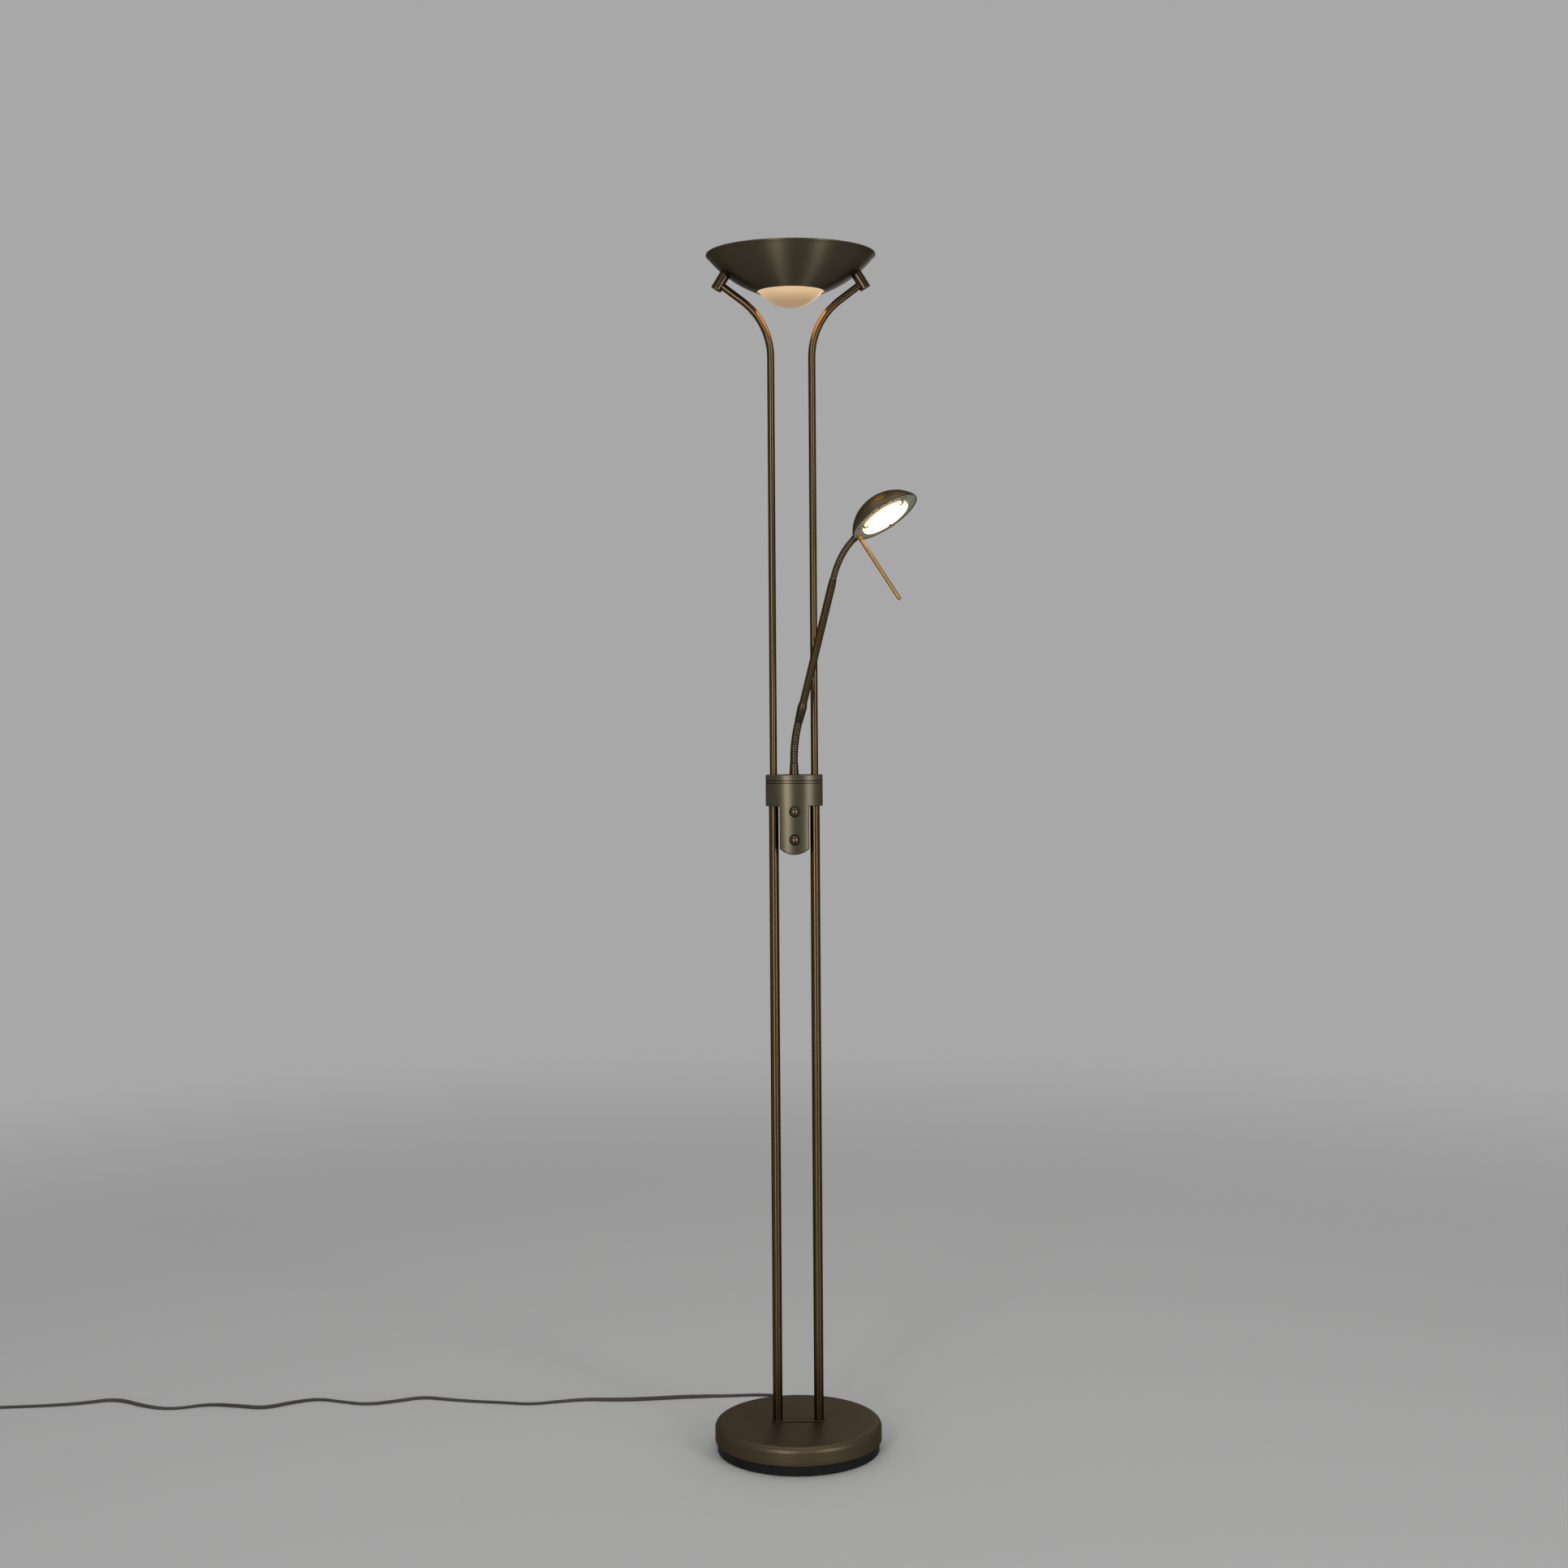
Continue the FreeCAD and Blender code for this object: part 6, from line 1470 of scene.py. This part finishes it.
@dataclass
class ReadingArm(SubAssembly):
    """Flared sleeve, straight tube and tapered end piece of the reading arm."""

    start: Vector
    along: Vector
    length: float = 233.0
    radius: float = 5.75
    sleeve_length: float = 32.4
    sleeve_widest: float = 23.0
    sleeve_radius: float = 7.1
    sleeve_start: float = 6.05
    sleeve_foot: float = 0.3
    sleeve_lip: float = 0.2
    # Steps of the sleeve's widest part, in from its radius and along from its height.
    sleeve_belly: tuple[tuple[float, float], ...] = ((0.02, -0.4), (0.0, 0.0), (0.0, 1.1), (0.15, 1.6))
    edge: float = 0.25
    tube_sunk: float = 1.0
    tube_inset: float = 0.02
    end_length: float = 10.0
    end_radius: float = 5.2

    def build(self) -> list[bpy.types.Object]:
        """Build the three turned pieces."""
        where = place(self.start, self.along)
        axis = Axis(tuple(self.start), tuple(self.along))
        turned_finish = replace(TURNED_BRONZE, name="bronze_sleeve", axis=axis, edge_tint=0.12)
        tube_finish = replace(ARM_TUBE_BRONZE, axis=axis)
        bottom, widest = self.sleeve_start, self.sleeve_radius
        foot, lip, edge = self.sleeve_foot, self.sleeve_lip, self.edge
        sleeve = [(0.0, 0.0), (bottom - edge, 0.0), (bottom, foot)]
        sleeve += [(widest - inset, self.sleeve_widest + rise) for inset, rise in self.sleeve_belly]
        sleeve += [(self.radius + lip, self.sleeve_length - foot), (self.radius, self.sleeve_length),
                   (0.0, self.sleeve_length)]
        tube_start, tube_end = self.sleeve_length - self.tube_sunk, self.length - self.end_length
        inside = self.radius - self.tube_inset
        tube = [(0.0, tube_start), (inside, tube_start), (inside, tube_end - lip), (self.radius - edge, tube_end),
                (0.0, tube_end)]
        end = [(0.0, tube_end), (self.radius - edge, tube_end), (self.radius, tube_end + edge),
               (self.end_radius, self.length - foot), (self.end_radius - foot, self.length), (0.0, self.length)]
        made = []
        for name, profile, finish, node in (
                ("sleeve", sleeve, turned_finish, "arm_sleeve"), ("tube", tube, tube_finish, "arm_tube"),
                ("end_piece", end, turned_finish, "arm_ferrule")):
            made.append(settle(lathed("reading_arm_" + name, finish, profile, where, 56), "arm", "bronze", node))
        return made


@dataclass
class ReadingHead(SubAssembly):
    """Spun shade, its lit glass held by clips, the handle rod and the neck's ferrule."""

    neck_end: Vector
    along: Vector
    facing: Triple = (0.506, -0.275, -0.8174)
    radius: float = 53.5
    skirt: float = 2.5
    dome: float = 30.8
    drop: float = 18.2
    wall: float = 0.9
    entry_height: float = 5.5
    ferrule_length: float = 6.5
    ferrule_radius: float = 5.0
    ferrule_sides: int = 48
    ferrule_sunk: float = 0.4
    clip_bevel: float = 0.15
    glass_edge: float = 0.5
    glass_rings: tuple[float, ...] = (0.0, 0.25, 0.5, 0.7, 0.85, 0.95)
    # Steps in from a radius and along from an end: screw's crown, handle's collar and waist, and neck's end.
    screw_crown: tuple[tuple[float, float], ...] = ((0.0, 0.5), (0.3, 0.15), (0.9, 0.0))
    handle_shoulder: tuple[tuple[float, float], ...] = ((0.0, 0.6), (0.5, 0.1))
    handle_waist: tuple[tuple[float, float], ...] = ((0.5, 0.0), (0.5, 0.35), (0.0, 0.7))
    ferrule_ease: tuple[tuple[float, float], ...] = ((0.5, 0.0), (0.0, 0.5), (0.0, 3.0), (0.0, 6.0))
    handle_tip: float = 0.9
    slot_height: float = -0.1
    ferrule_tries: int = 60
    close_enough: float = 0.01
    glass_radius: float = 37.2
    glass_faces: tuple[float, float] = (-2.0, 1.0)
    plate_face: float = 1.0
    screw_circle: float = 42.8
    screw_start: float = 47.0
    screw_count: int = 3
    screw_radius: float = 2.6
    screw_faces: tuple[float, float] = (-1.2, 0.2)
    slot_size: Triple = (6.0, 0.7, 1.2)
    slot_turn: float = 34.3775
    handle_spot: tuple[float, float] = (47.0, 6.5)
    handle_radius: float = 2.9
    handle_length: float = 113.0
    handle_collar: tuple[float, float] = (3.5, 6.5)

    def __post_init__(self) -> None:
        """Work out the head's own axes."""
        self.up = -Vector(self.facing).normalized()
        self.across = -(self.along - self.up * self.along.dot(self.up)).normalized()
        self.contact = self.neck_end + self.along * self.ferrule_length
        self.middle = self.contact - self.across * self.side_radius(self.entry_height) - self.up * self.entry_height
        self.where = place(self.middle, self.up, self.across)
        self.axis = Axis(tuple(self.middle), tuple(self.up))

    def dome_curve(self, inset: float) -> tuple[float, float, float]:
        """Level and upright half axes of the dome's ellipse and its start angle, moved inwards by an inset."""
        upright = self.dome + self.drop - inset
        start = math.asin(self.drop / upright)
        return (self.radius - inset) / math.cos(start), upright, start

    def side_radius(self, height: float) -> float:
        """Outer radius of the shade at a height over its rim."""
        level, upright, _ = self.dome_curve(0.0)
        share = (max(height, self.skirt) - self.skirt + self.drop) / upright
        return level * math.sqrt(max(0.0, 1 - share ** 2))

    def dome_points(self, inset: float, steps: int) -> list[tuple[float, float]]:
        """Points of the dome's curve from the skirt to the top."""
        level, upright, start = self.dome_curve(inset)
        angles = [start + (math.pi / 2 - start) * step / steps for step in range(steps)]
        points = [(level * math.cos(angle), self.skirt - self.drop + upright * math.sin(angle)) for angle in angles]
        return points + [(0.0, self.skirt - self.drop + upright)]

    def shade(self) -> bpy.types.Object:
        """Spun dome with a closed wall and a rounded rim."""
        half = self.wall / 2
        profile = arc((self.radius - half, half), half, 180.0, 360.0, 8)
        profile += self.dome_points(0.0, 32) + list(reversed(self.dome_points(self.wall, 24)))
        finish = replace(SHADE_BRONZE, axis=self.axis)
        return lathed("reading_shade", finish, profile, self.where, 128, closed=True)

    def glass(self) -> bpy.types.Object:
        """Frosted disc, lit from behind, with a warmer edge."""
        low, high = self.glass_faces
        radius = self.glass_radius
        edge = self.glass_edge
        profile = [(share * radius, low) for share in self.glass_rings]
        profile += arc((radius - edge, low + edge), edge, -90.0, 0.0, 4)
        profile += arc((radius - edge, high - edge), edge, 0.0, 90.0, 4) + [(radius / 2, high), (0.0, high)]
        return lathed("reading_glass", replace(LIT_GLASS, axis=self.axis), profile, self.where, 96)

    def screws(self) -> bpy.types.Object:
        """Three small screw heads on the clips, each with a slot."""
        radius, low, top = self.screw_radius, self.screw_faces[1], self.screw_faces[0]
        profile = [(0.0, low), (radius, low)]
        profile += [(radius - inset, top + rise) for inset, rise in self.screw_crown] + [(0.0, top)]
        local = Matrix.Translation((self.screw_circle * MM, 0, 0)) @ Matrix.Scale(MM, 4)
        one = lathed("clip_screw_heads", STEEL, profile, local, 24)
        cut = bpy.data.objects.new("slot_cutter", self.slot_block())
        bpy.context.scene.collection.objects.link(cut)
        carve = one.modifiers.new("slot", "BOOLEAN")
        carve.operation = "DIFFERENCE"
        carve.object = cut
        carve.solver = "EXACT"
        one = frozen(one, "clip_screw_heads", STEEL)
        bpy.data.objects.remove(cut)
        unscaled = self.where @ Matrix.Scale(1 / MM, 4)
        return CopiesRound.of(one, self.screw_count, self.screw_start, STEEL, unscaled)

    def slot_block(self) -> bpy.types.Mesh:
        """Thin block that cuts the slot of a screw's head, in metres about the head's axes."""
        block = bmesh.new()
        size = Matrix.Diagonal((*[side * MM for side in self.slot_size], 1.0))
        spot = Matrix.Translation((self.screw_circle * MM, 0, (self.screw_faces[0] + self.slot_height) * MM))
        turn = Matrix.Rotation(math.radians(self.slot_turn), 4, "Z")
        bmesh.ops.create_cube(block, size=1.0, matrix=spot @ turn @ size)
        data = bpy.data.meshes.new("slot_cutter")
        block.to_mesh(data)
        block.free()
        return data

    def handle(self) -> bpy.types.Object:
        """Long rod with a rounded tip, standing on a short collar."""
        collar_radius, collar_length = self.handle_collar
        radius, length = self.handle_radius, self.handle_length
        tip = self.handle_tip
        profile = [(0.0, 0.0), (collar_radius - 0.2, 0.0), (collar_radius, 0.2)]
        profile += [(collar_radius - inset, collar_length - drop) for inset, drop in self.handle_shoulder]
        profile += [(radius - inset, collar_length + rise) for inset, rise in self.handle_waist]
        profile += [(radius, length / 2), (radius, length - tip)]
        profile += arc((radius - tip, length - tip), tip, 0.0, 90.0, 6) + [(0.0, length)]
        root = self.where @ Vector((*self.handle_spot, self.plate_face)) / MM
        # The handle's finish carries painted light from the reading glass in its colour.
        finish = replace(LAMPLIT_HANDLE_BRONZE, axis=Axis(tuple(root), tuple(-self.up)))
        return lathed("handle_rod", finish, profile, place(root, -self.up), 40)

    def ferrule(self) -> bpy.types.Object:
        """Smooth end of the neck, cut to the shade's side."""
        radius = self.ferrule_radius
        length = self.ferrule_length
        profile = [(0.0, 0.0)] + [(radius - inset, rise) for inset, rise in self.ferrule_ease]
        profile += [(radius, length), (0.0, length)]
        shape = Shape().turned(profile, place(self.neck_end, self.along), self.ferrule_sides, False)
        to_head = self.where.inverted()
        for vertex in shape.mesh.verts[-self.ferrule_sides - 1:]:
            for _ in range(self.ferrule_tries):
                spot = to_head @ vertex.co
                outside = math.hypot(spot.x, spot.y) - self.side_radius(spot.z) + self.ferrule_sunk
                if abs(outside) < self.close_enough:
                    break
                vertex.co += self.along * (outside * 0.5 * MM)
        finish = replace(FERRULE_BRONZE, axis=Axis(tuple(self.neck_end), tuple(self.along)))
        return shape.outward().piece("neck_ferrule", finish)

    def build(self) -> list[bpy.types.Object]:
        """Build the head's own pieces and refine its clips."""
        return [
            settle(self.shade(), "head", "bronze", "head_shade"),
            settle(self.glass(), "head", "frosted_glass", "head_glass"),
            settle(refined("glass_clips", "glass_holders", CLIP_STEEL, self.clip_bevel), "head", "steel",
                   "glass_clips"),
            settle(self.screws(), "head", "steel", "clip_screws"),
            settle(self.handle(), "head", "bronze", "handle"),
            settle(self.ferrule(), "head", "bronze", "head_ferrule"),
        ]


@dataclass
class Inside(SubAssembly):
    """CAD pieces that keep their own shape and take a finish: the works and the underside."""

    finishes: dict[str, Finish] = field(default_factory=lambda: {
        "base_tray": BAND, "base_pads": FELT, "base_screws": STEEL, "base_weight": CAST_IRON,
        "base_terminal_block": CERAMIC, "post_nipples": STEEL, "post_foot_nuts": STEEL, "post_foot_bushes": STEEL,
        "post_joiners": STEEL, "supply_leads": RUBBER, "boss_screws": STEEL, "bowl_reflector": ALUMINIUM,
        "uplight_clips": STEEL, "lamp_bridge": STEEL, "lamp_holders": CERAMIC, "guard_glass": CLEAR,
        "halogen_tube": LIT_TUBE, "housing_screws": STEEL, "dimmers": DIMMER_PLASTIC, "dimmer_nuts": STEEL,
        "neck_collar_nut": STEEL, "head_nut": STEEL, "head_plate": PLATE_PAINT, "head_reflector": ALUMINIUM,
        "head_socket": CERAMIC, "head_bulb": LIT_CAPSULE,
    })

    def build(self) -> list[bpy.types.Object]:
        """Put each finish on its CAD node."""
        dressed = []
        for node, finish in self.finishes.items():
            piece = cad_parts[node]
            for slot in piece.material_slots:
                slot.material = finish.material()
            dressed.append(piece)
        return dressed


# ---------------------------------------------------------------- the lamp

def assemblies() -> list[SubAssembly]:
    """Every sub-assembly of the lamp in the order it is built, the cord first."""
    housing = Housing()
    neck_start = Vector((0.0, housing.neck_offset, housing.top + housing.collar_height))
    lower = Gooseneck(Neck.LOWER, neck_start, UPRIGHT, ARM_LEAN, shares=(0.25, 0.5, 0.75, 1.0), radius=6.0,
                      pitch=3.6, groove=0.8, before=STAND, after="arm")
    arm = ReadingArm(lower.end, lean(*ARM_LEAN))
    upper = Gooseneck(Neck.UPPER, lower.end + arm.along * arm.length, ARM_LEAN, HEAD_LEAN,
                      shares=(0.14, 0.28, 0.41, 0.6, 0.82, 1.0), radius=4.75, pitch=2.66, groove=0.5, before="arm",
                      after="head")
    head = ReadingHead(upper.end, lean(*HEAD_LEAN))
    knobs = [Knob(purpose, height) for purpose, height in KNOB_HEIGHTS]
    return [MainsCord(), Base(), Posts(), Uplight(), housing, *knobs, lower, arm, upper, head, Inside()]


def main() -> None:
    """Set up the studio, build the lamp and report each piece."""
    logging.basicConfig(level=logging.INFO, format="%(name)s: %(message)s")
    studio = Studio()
    studio.camera()
    for assembly in assemblies():
        for piece in assembly.build():
            log.info("%s: %s, %d faces", type(assembly).__name__, piece.name, len(piece.data.polygons))
    studio.build()


if __name__ == "__main__":
    main()
